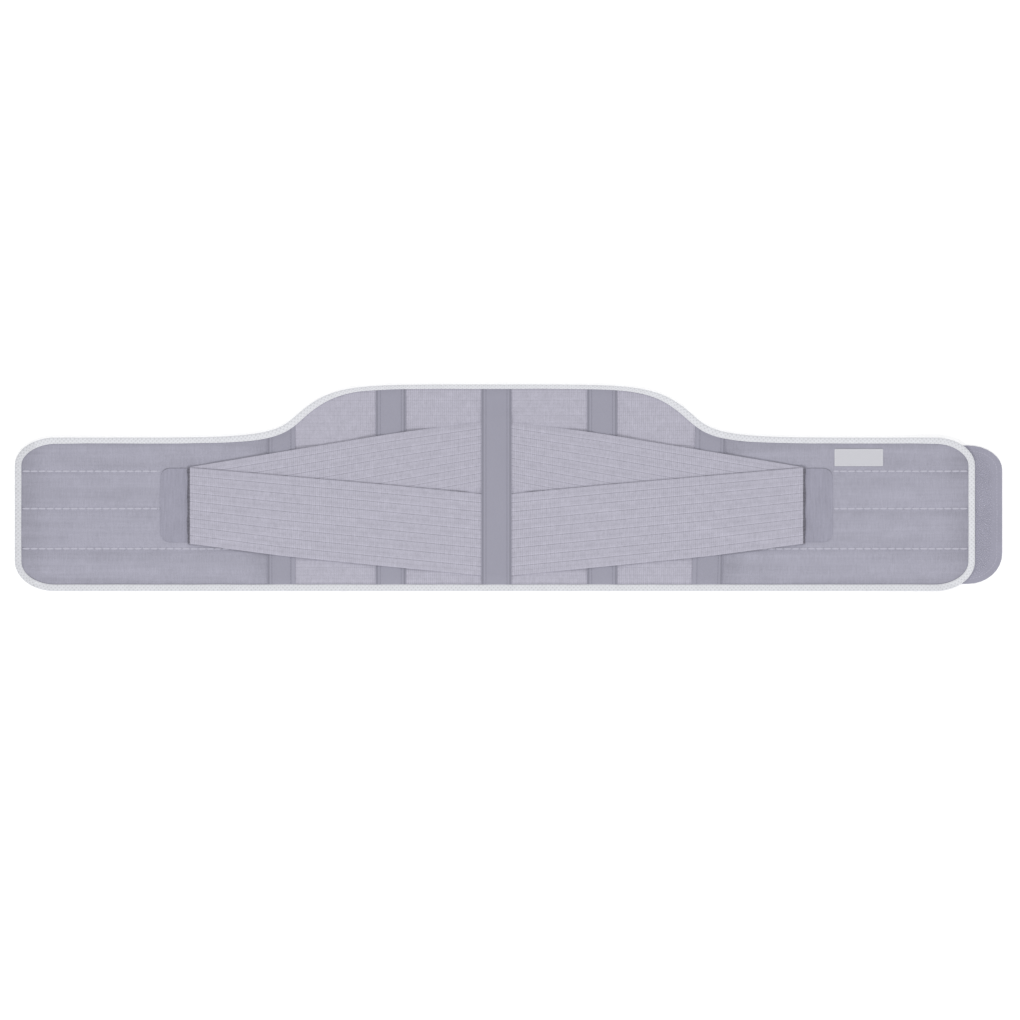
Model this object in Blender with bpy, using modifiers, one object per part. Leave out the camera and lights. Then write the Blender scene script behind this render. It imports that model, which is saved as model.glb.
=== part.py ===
"""A maternity belt that lies flat on its inner face, outer face up.

The tables hold millimetres, and point() turns them into metres. On the belt, "along" is the
distance from its middle towards its right end, "up" the height above its lower edge, and
"high" the height above the surface that it lies on.
"""

from collections import namedtuple

import bmesh
import bpy
import numpy as np
from mathutils import Matrix, Vector
from mathutils.geometry import interpolate_bezier

MM = 0.001
GAP = 0.3  # left between two pieces that touch

# The body's edge, as the binding's fold draws it.
BODY_REACH = 490.0
WING_HEIGHT = 156.9
TOP_CORNER = (41.0, 28.5)
BOTTOM_CORNER = (41.0, 30.5)
CORNER_STEPS = 7

# The shoulder between the raised back and the wing: each knot's slope is in degrees, and its
# two handles reach back towards the middle and on towards the end.
Knot = namedtuple("Knot", "along up slope back on")
SHOULDER = (
    Knot(31.3, 211.1, 0.0, 0.0, 115.4),
    Knot(203.3, 179.0, -42.4, 47.2, 24.2),
    Knot(342.4, 156.9, 0.0, 107.0, 0.0),
)
SHOULDER_STEPS = 9
BACK_HEIGHT = SHOULDER[0].up

# The binding: a mesh tape folded over the edge, with its width along the top edge.
BINDING_WALL = 0.8
BINDING_HIGH = 3.6
BINDING_FOLD = 0.6
BINDING_WIDTH = 7.1
TopWidth = namedtuple("TopWidth", "along width")
TOP_WIDTHS = (
    TopWidth(0.0, 4.7),
    TopWidth(115.0, 4.7),
    TopWidth(190.0, 7.4),
    TopWidth(250.0, 6.9),
    TopWidth(300.0, 6.2),
    TopWidth(420.0, 6.2),
    TopWidth(480.0, BINDING_WIDTH),
)

# The padded body: pinched inside the binding, full thickness past it.
BODY_HIGH = 3.0
PINCH_LOW = BINDING_WALL + GAP
PINCH_HIGH = BINDING_HIGH - BINDING_WALL - GAP
PINCH_SLOPE = 3.0

# The tapes and straps are centred a little to the right of the body's middle.
SEWN_SHIFT = 1.7

# The casings: tapes 31 mm wide with a low raised middle over a stay.
CASING_WIDTH = 31.0
CASING_WALL = 0.8
CASING_RISE = 0.4
CASING_FLAT = 8.0  # each flat border, with its two rows of stitches
CASING_RAMP = 1.5
CASING_LOW = BODY_HIGH + GAP
CASING_OUTER = 218.4
CASING_INNER = 107.8

# The pull straps: ribbed elastic 80 mm wide at the tab. Each row is a cross-section at a
# distance away from the middle, with the heights of its two edges.
STRAP_WALL = 1.0
STRAP_RIBS = 9
RIB_HIGH = 0.25
RIB_GAP = 0.35  # ribbed cloth needs a little more room than flat cloth
STRAP_LOW = CASING_LOW + CASING_WALL + CASING_RISE + GAP
STRAP_STACK = STRAP_WALL + RIB_HIGH + RIB_GAP
StrapRow = namedtuple("StrapRow", "away top bottom")
UPPER_STRAP = (
    StrapRow(2.0, 175.5, 107.9),
    StrapRow(14.7, 173.8, 105.5),
    StrapRow(107.9, 160.8, 87.5),
    StrapRow(218.7, 142.6, 66.4),
    StrapRow(314.1, 126.8, 48.1),
)
LOWER_STRAP = (
    StrapRow(2.0, 98.4, 14.9),
    StrapRow(14.7, 99.5, 15.9),
    StrapRow(107.9, 108.5, 24.9),
    StrapRow(218.7, 118.1, 36.0),
    StrapRow(314.1, 126.3, 45.6),
)
StrapSeat = namedtuple("StrapSeat", "away high")
STRAP_SEATS = (
    StrapSeat(2.0, CASING_LOW),
    StrapSeat(16.0, CASING_LOW),
    StrapSeat(91.0, STRAP_LOW),
    StrapSeat(314.1, STRAP_LOW),
)
UPPER_STOPS = (2.0, 16.0, 54.0, 91.0, 107.9, 218.7, 314.1)
LOWER_STOPS = (2.0, 16.0, 24.0, 36.0, 64.0, 91.0, 119.0, 147.0, 175.0, 203.0, 231.0, 259.0, 287.0, 314.1)
STACK_HOLD = 2.0  # the lower strap stays raised this far past the upper strap's edge
STACK_FALL = 8.0  # and comes down over this much
MERGE_FROM = 18.0  # near the centre casing the straps lie side by side
MERGE_TO = 34.0

# The centre casing passes over the straps' inner ends.
ClimbRow = namedtuple("ClimbRow", "up high")
CENTRE_HIGH = CASING_LOW + STRAP_WALL + RIB_HIGH + RIB_GAP
CENTRE_CLIMB = (
    ClimbRow(13.0, CENTRE_HIGH),
    ClimbRow(178.0, CENTRE_HIGH),
    ClimbRow(186.0, CASING_LOW),
)

# The strap tabs: cut with round corners, the straps' ends sewn on top.
STRAP_TAB = (51.0, 75.0, 1.2)
STRAP_TAB_OUTER = 342.9
STRAP_TAB_UP = 87.8
STRAP_TAB_CORNER = (10.0, 10.0)

# The closure tab lies under the right end, which rises over it.
CLOSURE_REACH = 28.0
CLOSURE_HIDDEN = 40.0
CLOSURE_BOTTOM = 7.5
CLOSURE_TOP = 148.8
CLOSURE_WALL = 1.2
CLOSURE_TOP_CORNER = (35.0, 25.0)
CLOSURE_BOTTOM_CORNER = (35.0, 31.0)
HOOKS_HIGH = 0.35
HOOKS_BORDER = 5.0
HOOKS_SETBACK = 0.8
LIFT = CLOSURE_WALL + GAP
LIFT_ROWS = (405.0, 413.0, 426.0, 439.0, 447.0)

# The blank label on the right wing.
LABEL = (51.0, 18.5, 0.6)
LABEL_ALONG = 371.3
LABEL_UP = 136.4
LABEL_CORNER = (1.2, 1.2)

# Grooves pressed into the body, each half as wide as its first number and as deep as its
# second: the back's ribs, the wings' quilted stitch lines, the seams at the strap tabs' edges.
RIB_PITCH = 7.75
RIB_FIRST = 16.8
RIB_COUNT = 24
RIB_GROOVE = (0.9, 0.35)
QUILT_LINES = (43.5, 84.4, 122.6)
SEAM_GROOVE = (1.6, 0.35)
GROOVE_LIFT = 0.04  # keeps a groove's widest line off the face that it cuts
GROOVE_OVERRUN = 5.0

# A plate's corners clockwise from the top right: the way the edge arrives, and the side.
PLATE_CORNERS = (((1, 0), (1, 1)), ((0, -1), (1, -1)), ((-1, 0), (-1, -1)), ((0, 1), (-1, 1)))
PLATE_STEPS = 5
SQUARE = (0.0, 0.0)
CIRCLE_HANDLE = 0.5523
WELD = 1e-6

Finish = namedtuple("Finish", "red green blue roughness")
LOOP_CLOTH = Finish(168, 167, 181, 0.95)
ELASTIC = Finish(180, 178, 191, 0.85)
CASING_TAPE = Finish(158, 157, 171, 0.85)
BINDING_MESH = Finish(216, 217, 222, 0.8)
TAB_CLOTH = Finish(159, 158, 173, 0.8)
HOOK_TAPE = Finish(158, 157, 172, 0.7)
LABEL_CLOTH = Finish(203, 203, 208, 0.7)


def point(along, up, high):
    return Vector((along * MM, (up - BACK_HEIGHT / 2) * MM, high * MM))


def smooth(share):
    share = min(max(share, 0.0), 1.0)
    return share * share * (3.0 - 2.0 * share)


def table(rows, column, where):
    """Read one column of a table between its rows; the first column is where they are."""
    return float(np.interp(where, [row[0] for row in rows], [getattr(row, column) for row in rows]))


def rise(along):
    """How much the right end is raised by the closure tab under it."""
    return LIFT * smooth((along - LIFT_ROWS[0]) / (LIFT_ROWS[-1] - LIFT_ROWS[0]))


# The scene: one collection for the belt, one for what cuts it, one empty that carries it.


def start_scene():
    for old in list(bpy.data.objects):
        bpy.data.objects.remove(old, do_unlink=True)
    for title in ("maternity_belt", "cutters"):
        bpy.context.scene.collection.children.link(bpy.data.collections.new(title))
    origin = bpy.data.objects.new("belt_origin", None)
    origin.location = (-CLOSURE_REACH / 2 * MM, 0.0, 0.0)
    bpy.data.collections["maternity_belt"].objects.link(origin)
    return origin


def linear(value):
    share = value / 255
    return share / 12.92 if share <= 0.04045 else ((share + 0.055) / 1.055) ** 2.4


def material(name, finish):
    made = bpy.data.materials.new(name)
    made.use_nodes = True
    shader = made.node_tree.nodes["Principled BSDF"]
    colour = (linear(finish.red), linear(finish.green), linear(finish.blue), 1.0)
    shader.inputs["Base Color"].default_value = colour
    shader.inputs["Roughness"].default_value = finish.roughness
    shader.inputs["Metallic"].default_value = 0.0
    return made


def keep(name, mesh, origin, finish, location=(0.0, 0.0, 0.0)):
    """Put a finished mesh in the belt as one named piece."""
    mesh.materials.clear()
    mesh.materials.append(material(name, finish))
    piece = bpy.data.objects.new(name, mesh)
    piece.parent = origin
    piece.location = location
    bpy.data.collections["maternity_belt"].objects.link(piece)
    return piece


def cutter(name, mesh, origin, location=(0.0, 0.0, 0.0)):
    """Put a mesh that cuts or joins a piece in the cutters' collection."""
    tool = bpy.data.objects.new(name, mesh)
    tool.parent = origin
    tool.location = location
    tool.hide_render = True
    tool.display_type = "WIRE"
    bpy.data.collections["cutters"].objects.link(tool)
    return tool


def cut(piece, tool, operation):
    boolean = piece.modifiers.new(operation.lower(), "BOOLEAN")
    boolean.operation = operation
    boolean.solver = "EXACT"
    boolean.object = tool


def to_mesh(name, bm):
    mesh = bpy.data.meshes.new(name)
    bm.to_mesh(mesh)
    bm.free()
    return mesh


# The outline: stations round the body's edge, each with the way in and the binding's width.

Station = namedtuple("Station", "along up in_along in_up width")


def corner(centre, radii, start):
    """A quarter of an ellipse, clockwise from start degrees."""
    turns = np.radians(np.linspace(start, start - 90.0, CORNER_STEPS))
    return [(centre[0] + radii[0] * np.cos(t), centre[1] + radii[1] * np.sin(t)) for t in turns]


def shoulder():
    points = []
    for near, far in zip(SHOULDER, SHOULDER[1:]):
        start = Vector((near.along, near.up))
        end = Vector((far.along, far.up))
        leave = Vector((near.on, 0.0))
        leave.rotate(Matrix.Rotation(np.radians(near.slope), 2))
        arrive = Vector((far.back, 0.0))
        arrive.rotate(Matrix.Rotation(np.radians(far.slope), 2))
        arc = interpolate_bezier(start, start + leave, end - arrive, end, SHOULDER_STEPS)
        points += [(p.x, p.y) for p in arc[(1 if points else 0):]]
    return points


def half_outline():
    """From the top middle round the right end to the bottom middle."""
    top_centre = (BODY_REACH - TOP_CORNER[0], WING_HEIGHT - TOP_CORNER[1])
    bottom_centre = (BODY_REACH - BOTTOM_CORNER[0], BOTTOM_CORNER[1])
    points = [(0.0, BACK_HEIGHT)]
    points += shoulder()
    points += [(along, WING_HEIGHT) for along in LIFT_ROWS]
    points += corner(top_centre, TOP_CORNER, 90.0)
    points += corner(bottom_centre, BOTTOM_CORNER, 0.0)
    points += [(along, 0.0) for along in reversed(LIFT_ROWS)]
    points += [(0.0, 0.0)]
    return points


def stations():
    right = half_outline()
    loop = right + [(-along, up) for along, up in reversed(right[1:-1])]
    found = []
    for index, (along, up) in enumerate(loop):
        before = Vector(loop[index - 1])
        after = Vector(loop[(index + 1) % len(loop)])
        way = (after - before).normalized()
        on_top = up > WING_HEIGHT / 2
        width = table(TOP_WIDTHS, "width", abs(along)) if on_top else BINDING_WIDTH
        found.append(Station(along, up, way.y, -way.x, width))
    return found


def ring(edge, inset, high, past_binding=False):
    """The outline moved in by inset, measured from the binding's inner edge if past it."""
    points = []
    for station in edge:
        reach = inset + (station.width if past_binding else 0.0)
        along = station.along + station.in_along * reach
        points.append(point(along, station.up + station.in_up * reach, high))
    return points


def inner_edge(edge, along):
    """Height of the binding's inner edge on the top side, a gap below it."""
    top = [p for p, s in zip(ring(edge, GAP, 0.0, True), edge) if s.up > WING_HEIGHT - GAP]
    top.sort(key=lambda p: p.x)
    height = np.interp(along * MM, [p.x for p in top], [p.y for p in top])
    return height / MM + BACK_HEIGHT / 2


# Mesh helpers: a skin over rows of points, and the rise of the right end.


def skin(bm, rows, around=False):
    """Quads between rows of points; around closes each row on itself."""
    grid = [[bm.verts.new(p) for p in row] for row in rows]
    for low, top in zip(grid, grid[1:]):
        last = len(low) if around else len(low) - 1
        for i in range(last):
            j = (i + 1) % len(low)
            bm.faces.new((low[i], low[j], top[j], top[i]))
    return grid


def cut_rows(bm, rows):
    """Cross-cut a mesh at each distance along the belt, so that it can bend there."""
    for along in rows:
        geometry = bm.verts[:] + bm.edges[:] + bm.faces[:]
        bmesh.ops.bisect_plane(bm, geom=geometry, plane_co=point(along, 0, 0), plane_no=(1, 0, 0))


def raise_end(bm):
    for vert in bm.verts:
        vert.co.z += rise(vert.co.x / MM) * MM


def thicken(piece, wall, offset):
    solid = piece.modifiers.new("wall", "SOLIDIFY")
    solid.thickness = wall * MM
    solid.offset = offset
    solid.use_even_offset = True


def sheet(name, rows, wall, origin, finish):
    """Cloth: an open skin, its underside on the rows, thickened upwards."""
    bm = bmesh.new()
    skin(bm, rows)
    bm.normal_update()
    if sum(face.normal.z for face in bm.faces) < 0:
        bmesh.ops.reverse_faces(bm, faces=bm.faces[:])
    thicken(keep(name, to_mesh(name, bm), origin, finish), wall, 1.0)


def plate_knots(width, tall, corners):
    """A rounded rectangle's curve points, each with its handles where the edge is round."""
    knots = []
    for (way, side), radii in zip(PLATE_CORNERS, corners):
        tip = Vector((width / 2 * side[0], tall / 2 * side[1]))
        if radii == SQUARE:
            knots.append((tip, None, None))
            continue
        arrive = Vector((way[0] * radii[0], way[1] * radii[1]))
        leave = Vector((way[1] * radii[0], -way[0] * radii[1]))
        knots.append((tip - arrive, None, tip - arrive * (1 - CIRCLE_HANDLE)))
        knots.append((tip + leave, tip + leave * (1 - CIRCLE_HANDLE), None))
    return knots


def plate(name, size, corners):
    """A flat piece from a filled 2D curve, its corners given clockwise from the top right."""
    width, tall, wall = size
    knots = plate_knots(width, tall, corners)
    curve = bpy.data.curves.new(name, "CURVE")
    curve.dimensions = "2D"
    curve.fill_mode = "BOTH"
    curve.extrude = wall / 2 * MM
    curve.resolution_u = PLATE_STEPS
    spline = curve.splines.new("BEZIER")
    spline.bezier_points.add(len(knots) - 1)
    spline.use_cyclic_u = True
    for knot, (place, before, after) in zip(spline.bezier_points, knots):
        knot.co = (place.x * MM, place.y * MM, 0.0)
        knot.handle_left_type = "FREE" if before else "VECTOR"
        knot.handle_right_type = "FREE" if after else "VECTOR"
        if before:
            knot.handle_left = (before.x * MM, before.y * MM, 0.0)
        if after:
            knot.handle_right = (after.x * MM, after.y * MM, 0.0)
    drawn = bpy.data.objects.new(name, curve)
    bpy.context.scene.collection.objects.link(drawn)
    bpy.context.view_layer.update()
    graph = bpy.context.evaluated_depsgraph_get()
    mesh = bpy.data.meshes.new_from_object(drawn.evaluated_get(graph))
    bpy.data.objects.remove(drawn, do_unlink=True)
    bm = bmesh.new()
    bm.from_mesh(mesh)
    bmesh.ops.remove_doubles(bm, verts=bm.verts[:], dist=WELD)
    bmesh.ops.recalc_face_normals(bm, faces=bm.faces[:])
    bpy.data.meshes.remove(mesh)
    return to_mesh(name, bm)


# The pieces.


def body_panel(name, edge, origin, finish, start, end, rows=()):
    """The body between two seams, or to its end: pinched at its edge, full past the binding."""
    bm = bmesh.new()
    rings = skin(
        bm,
        (
            ring(edge, PINCH_SLOPE, 0.0, True),
            ring(edge, GAP, PINCH_LOW, True),
            ring(edge, BINDING_WALL + GAP, PINCH_LOW),
            ring(edge, BINDING_WALL + GAP, PINCH_HIGH),
            ring(edge, GAP, PINCH_HIGH, True),
            ring(edge, PINCH_SLOPE, BODY_HIGH, True),
        ),
        around=True,
    )
    bm.faces.new(rings[0])
    bm.faces.new(rings[-1])
    bmesh.ops.recalc_face_normals(bm, faces=bm.faces[:])
    for along, way in ((start, -1), (end, 1)):
        if along is None:
            continue
        geometry = bm.verts[:] + bm.edges[:] + bm.faces[:]
        bmesh.ops.bisect_plane(
            bm, geom=geometry, plane_co=point(along, 0, 0), plane_no=(way, 0, 0), clear_outer=True
        )
        open_edges = [e for e in bm.edges if e.is_boundary]
        bmesh.ops.holes_fill(bm, edges=open_edges, sides=0)
    cut_rows(bm, rows)
    raise_end(bm)
    bmesh.ops.recalc_face_normals(bm, faces=bm.faces[:])
    return keep(name, to_mesh(name, bm), origin, finish)


def groove_bars(name, lines, groove, origin):
    """Flattened four-sided bars, one for each groove's line between two (along, up) ends."""
    half_width, depth = groove
    flat = Matrix.Diagonal((depth / half_width, 1.0, 1.0, 1.0))
    bm = bmesh.new()
    for start, end in lines:
        first = point(*start, BODY_HIGH + GROOVE_LIFT)
        last = point(*end, BODY_HIGH + GROOVE_LIFT)
        turn = (last - first).to_track_quat("Z", "X").to_matrix().to_4x4()
        bmesh.ops.create_cone(
            bm,
            cap_ends=True,
            segments=4,
            radius1=half_width * MM,
            radius2=half_width * MM,
            depth=(last - first).length,
            matrix=Matrix.Translation((first + last) / 2) @ turn @ flat,
        )
    if max(line[1][0] for line in lines) > LIFT_ROWS[0]:
        cut_rows(bm, LIFT_ROWS)
        raise_end(bm)
    return cutter(name, to_mesh(name, bm), origin)


def level(heights, start, end):
    """Lines along the belt at these heights."""
    return [((start, up), (end, up)) for up in heights]


def tab_seam(side):
    """The line of the seam at a strap tab's outer edge, which presses the wing down."""
    along = side * STRAP_TAB_OUTER + SEWN_SHIFT
    half = STRAP_TAB[1] / 2
    return [((along, STRAP_TAB_UP - half), (along, STRAP_TAB_UP + half))]


def body(edge, origin):
    """The ribbed back and the two quilted wings, butted under the outer casings."""
    left = SEWN_SHIFT - CASING_OUTER
    right = SEWN_SHIFT + CASING_OUTER
    end = BODY_REACH - BINDING_WIDTH
    back = body_panel("back_panel", edge, origin, ELASTIC, left, right)
    wing_left = body_panel("wing_left", edge, origin, LOOP_CLOTH, None, left - GAP)
    wing_right = body_panel("wing_right", edge, origin, LOOP_CLOTH, right + GAP, None, LIFT_ROWS)
    ribs = level(
        [RIB_FIRST + RIB_PITCH * i for i in range(RIB_COUNT)],
        left - GROOVE_OVERRUN,
        right + GROOVE_OVERRUN,
    )
    for name, piece, lines, groove in (
        ("ribs", back, ribs, RIB_GROOVE),
        ("quilting_left", wing_left, level(QUILT_LINES, -end, left), SEAM_GROOVE),
        ("quilting_right", wing_right, level(QUILT_LINES, right, end), SEAM_GROOVE),
        ("seam_left", wing_left, tab_seam(-1), SEAM_GROOVE),
        ("seam_right", wing_right, tab_seam(1), SEAM_GROOVE),
    ):
        cut(piece, groove_bars(name, lines, groove, origin), "DIFFERENCE")


def binding_stretch(name, edge, origin, bounds):
    """The folded tape between its bounds: its outer face, thickened inwards.

    Each bound is a place on the belt and the way that is cut off there.
    """
    rows = (
        ring(edge, 0.0, BINDING_HIGH, True),
        ring(edge, BINDING_FOLD, BINDING_HIGH),
        ring(edge, 0.0, BINDING_HIGH - BINDING_FOLD),
        ring(edge, 0.0, BINDING_FOLD),
        ring(edge, BINDING_FOLD, 0.0),
        ring(edge, 0.0, 0.0, True),
    )
    bm = bmesh.new()
    skin(bm, rows, around=True)
    for (along, up), way in bounds:
        geometry = bm.verts[:] + bm.edges[:] + bm.faces[:]
        bmesh.ops.bisect_plane(
            bm, geom=geometry, plane_co=point(along, up, 0), plane_no=way, clear_outer=True
        )
    raise_end(bm)
    bm.normal_update()
    if max(bm.faces, key=lambda f: f.calc_center_median().z).normal.z < 0:
        bmesh.ops.reverse_faces(bm, faces=bm.faces[:])
    thicken(keep(name, to_mesh(name, bm), origin, BINDING_MESH), BINDING_WALL, -1.0)


def edge_binding(edge, origin):
    """The tape in four stretches that meet in line with the seams of the body."""
    left = SEWN_SHIFT - CASING_OUTER
    right = SEWN_SHIFT + CASING_OUTER
    middle = ((0.0, BACK_HEIGHT / 2), (0.0, -1.0, 0.0))
    sides = (((left, 0.0), (-1.0, 0.0, 0.0)), ((right, 0.0), (1.0, 0.0, 0.0)))
    binding_stretch("edge_binding_left", edge, origin, [((left - GAP, 0.0), (1.0, 0.0, 0.0))])
    binding_stretch("edge_binding_right", edge, origin, [((right + GAP, 0.0), (-1.0, 0.0, 0.0))])
    binding_stretch("edge_binding_top", edge, origin, [*sides, middle])
    binding_stretch("edge_binding_bottom", edge, origin, [*sides, (middle[0], (0.0, 1.0, 0.0))])


def casing(name, centre, edge, origin, climb=()):
    """One upright tape from binding to binding, with the rows where it climbs over something."""
    half = CASING_WIDTH / 2
    inner = half - CASING_FLAT
    profile = (
        (-half, 0.0),
        (-inner - CASING_RAMP, 0.0),
        (-inner, CASING_RISE),
        (inner, CASING_RISE),
        (inner + CASING_RAMP, 0.0),
        (half, 0.0),
    )
    columns = [(centre + SEWN_SHIFT + across, bump) for across, bump in profile]
    foot = BINDING_WIDTH + GAP
    rows = [[point(along, foot, CASING_LOW + bump) for along, bump in columns]]
    rows += [[point(along, row.up, row.high + bump) for along, bump in columns] for row in climb]
    rows += [[point(along, inner_edge(edge, along), CASING_LOW + bump) for along, bump in columns]]
    sheet(name, rows, CASING_WALL, origin, CASING_TAPE)


def casings(edge, origin):
    casing("casing_outer_left", -CASING_OUTER, edge, origin)
    casing("casing_inner_left", -CASING_INNER, edge, origin)
    casing("casing_centre", 0.0, edge, origin, CENTRE_CLIMB)
    casing("casing_inner_right", CASING_INNER, edge, origin)
    casing("casing_outer_right", CASING_OUTER, edge, origin)


def stacked(away, up):
    """How much the lower strap is raised where it lies on the upper one, from 0 to 1."""
    past = table(UPPER_STRAP, "bottom", away) - up
    over = smooth((STACK_HOLD + STACK_FALL - past) / STACK_FALL)
    return over * smooth((away - MERGE_FROM) / (MERGE_TO - MERGE_FROM))


def strap(name, side, rows, stops, origin, on_top):
    lines = 2 * STRAP_RIBS
    grid = []
    for away in stops:
        top = table(rows, "top", away)
        bottom = table(rows, "bottom", away)
        seat = table(STRAP_SEATS, "high", away)
        section = []
        for line in range(lines + 1):
            up = top + (bottom - top) * line / lines
            high = seat + (RIB_HIGH if line % 2 else 0.0)
            if on_top:
                high += STRAP_STACK * stacked(away, up)
            section.append(point(side * away + SEWN_SHIFT, up, high))
        grid.append(section)
    sheet(name, grid, STRAP_WALL, origin, ELASTIC)


def straps(origin):
    for side, word in ((-1, "left"), (1, "right")):
        strap(f"strap_upper_{word}", side, UPPER_STRAP, UPPER_STOPS, origin, on_top=False)
        strap(f"strap_lower_{word}", side, LOWER_STRAP, LOWER_STOPS, origin, on_top=True)


def strap_tabs(origin):
    width, _, wall = STRAP_TAB
    for side, word in ((-1, "left"), (1, "right")):
        name = f"strap_tab_{word}"
        mesh = plate(name, STRAP_TAB, [STRAP_TAB_CORNER] * 4)
        along = side * (STRAP_TAB_OUTER - width / 2) + SEWN_SHIFT
        keep(name, mesh, origin, TAB_CLOTH, point(along, STRAP_TAB_UP, CASING_LOW + wall / 2))


def closure_tab(origin):
    """The tab under the right end, with its raised field of hooks where it shows."""
    tall = CLOSURE_TOP - CLOSURE_BOTTOM
    middle = (CLOSURE_TOP + CLOSURE_BOTTOM) / 2
    size = (CLOSURE_HIDDEN + CLOSURE_REACH, tall, CLOSURE_WALL)
    mesh = plate("closure_tab", size, (CLOSURE_TOP_CORNER, CLOSURE_BOTTOM_CORNER, SQUARE, SQUARE))
    along = BODY_REACH + (CLOSURE_REACH - CLOSURE_HIDDEN) / 2
    place = point(along, middle, CLOSURE_WALL / 2)
    piece = keep("closure_tab", mesh, origin, HOOK_TAPE, place)
    wide = CLOSURE_REACH - HOOKS_SETBACK - HOOKS_BORDER
    field = (wide, tall - 2 * HOOKS_BORDER, CLOSURE_WALL)
    shrink = wide / CLOSURE_TOP_CORNER[0]
    top_corner = (wide - HOOKS_SETBACK, CLOSURE_TOP_CORNER[1] * shrink)
    bottom_corner = (wide - HOOKS_SETBACK, CLOSURE_BOTTOM_CORNER[1] * shrink)
    hooks = plate("hook_field", field, (top_corner, bottom_corner, SQUARE, SQUARE))
    along = BODY_REACH + HOOKS_SETBACK + wide / 2
    spot = point(along, middle, CLOSURE_WALL / 2 + HOOKS_HIGH)
    cut(piece, cutter("hook_field", hooks, origin, spot), "UNION")


def label(origin):
    mesh = plate("label", LABEL, [LABEL_CORNER] * 4)
    keep("label", mesh, origin, LABEL_CLOTH, point(LABEL_ALONG, LABEL_UP, CASING_LOW + LABEL[2] / 2))


def main():
    origin = start_scene()
    edge = stations()
    body(edge, origin)
    edge_binding(edge, origin)
    casings(edge, origin)
    straps(origin)
    strap_tabs(origin)
    closure_tab(origin)
    label(origin)


main()
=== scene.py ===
# %% [markdown]
# # A maternity belt, laid flat
#
# The real belt is a long band of elastic and padded loop cloth. A mesh tape binds its edge,
# five tapes hold stays upright on the back, and two pairs of ribbed straps cross over them to
# be pulled forward. This lesson dresses the plain solids of that belt in cloth, piece by piece.
#
# The solids come first, because every piece is placed from them. They could be traced again by
# eye, but a belt that is measured from its own frame always fits it.

import math
import random

import bmesh
import bpy
import numpy as np
from mathutils import Matrix, Vector, noise
from mathutils.geometry import interpolate_bezier
from mathutils.kdtree import KDTree


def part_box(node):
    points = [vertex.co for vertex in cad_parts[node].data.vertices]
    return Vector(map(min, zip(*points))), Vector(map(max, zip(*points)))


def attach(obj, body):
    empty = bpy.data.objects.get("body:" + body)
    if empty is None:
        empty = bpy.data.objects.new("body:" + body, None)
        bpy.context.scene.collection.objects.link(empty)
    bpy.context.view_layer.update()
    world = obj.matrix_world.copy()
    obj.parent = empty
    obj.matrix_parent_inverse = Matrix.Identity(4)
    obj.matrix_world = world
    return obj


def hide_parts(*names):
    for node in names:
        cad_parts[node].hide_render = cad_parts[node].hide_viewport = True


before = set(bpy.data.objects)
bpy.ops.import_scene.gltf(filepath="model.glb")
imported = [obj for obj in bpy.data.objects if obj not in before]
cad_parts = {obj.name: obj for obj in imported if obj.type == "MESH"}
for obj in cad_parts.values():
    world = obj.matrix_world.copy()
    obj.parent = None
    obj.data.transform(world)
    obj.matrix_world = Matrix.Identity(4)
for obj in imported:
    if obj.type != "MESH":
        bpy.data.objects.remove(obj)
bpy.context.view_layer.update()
scene = bpy.context.scene
print("nodes in the frame:", len(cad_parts))

# %% [markdown]
# ## Millimetres on the belt
#
# Cloth is easiest to think about in millimetres: "along" is the distance from the belt's middle
# towards its right end, "up" the height above its lower edge, "high" the height above the table.
# A scene in metres could hold bare metres everywhere, but a sewn seam of 0.0017 is hard to read.
# So one small function turns the belt's own millimetres into the frame's metres.

# %% Measure the belt
MM = 0.001

left_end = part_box("edge_binding_left")[0].x
right_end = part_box("edge_binding_right")[1].x
middle = (left_end + right_end) / 2
lower_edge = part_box("edge_binding_bottom")[0].y
REACH = (right_end - left_end) / 2 / MM
BACK_HEIGHT = (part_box("edge_binding_top")[1].y - lower_edge) / MM
BODY_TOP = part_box("back_panel")[1].z / MM
TAPE_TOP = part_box("edge_binding_top")[1].z / MM
CASING_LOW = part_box("casing_outer_left")[0].z / MM
SIDES = ((-1, "left"), (1, "right"))


def spot(along, up, high):
    """A place on the belt, in millimetres, as a point of the frame in metres."""
    return Vector((middle + along * MM, lower_edge + up * MM, high * MM))


def on_belt(point):
    """The other way round: along, up and high of a point of the frame."""
    return (point.x - middle) / MM, (point.y - lower_edge) / MM, point.z / MM


def smooth(share):
    """Ease from 0 to 1 with no corner at either end."""
    share = min(max(share, 0.0), 1.0)
    return share * share * (3.0 - 2.0 * share)


def table(rows, where):
    """Read a short table of (place, value) rows between its rows."""
    return float(np.interp(where, [row[0] for row in rows], [row[1] for row in rows]))


print(f"half length {REACH:.1f}, height {BACK_HEIGHT:.1f}, cloth top {BODY_TOP:.2f} mm")

# %% [markdown]
# ## Camera, light and table
#
# The belt is photographed from straight above with a long lens, on pure white. A camera on the
# belt's middle could fit it by its box, but the picture is a little off the middle, so the camera
# stands over the picture's own centre. A big soft lamp below the picture's lower edge rakes over
# the ribs and leaves a thin shadow above each strap; the white world fills the rest.

# %% Set the camera and the lights
FRAME_WIDTH = 1040.4
LENS = 100.0
SENSOR = 36.0
VIEW_CENTRE = (15.5, 82.9)
BELT_SURFACE = 4.0


def linear(value):
    """One channel of a screen colour, 0 to 255, as linear light."""
    share = value / 255
    return share / 12.92 if share <= 0.04045 else ((share + 0.055) / 1.055) ** 2.4


def colour(red, green, blue):
    return (linear(red), linear(green), linear(blue), 1.0)


def show(name, data):
    """Put a camera, a lamp or a mesh into the scene as an object of that name."""
    made = bpy.data.objects.new(name, data)
    scene.collection.objects.link(made)
    return made


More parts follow.
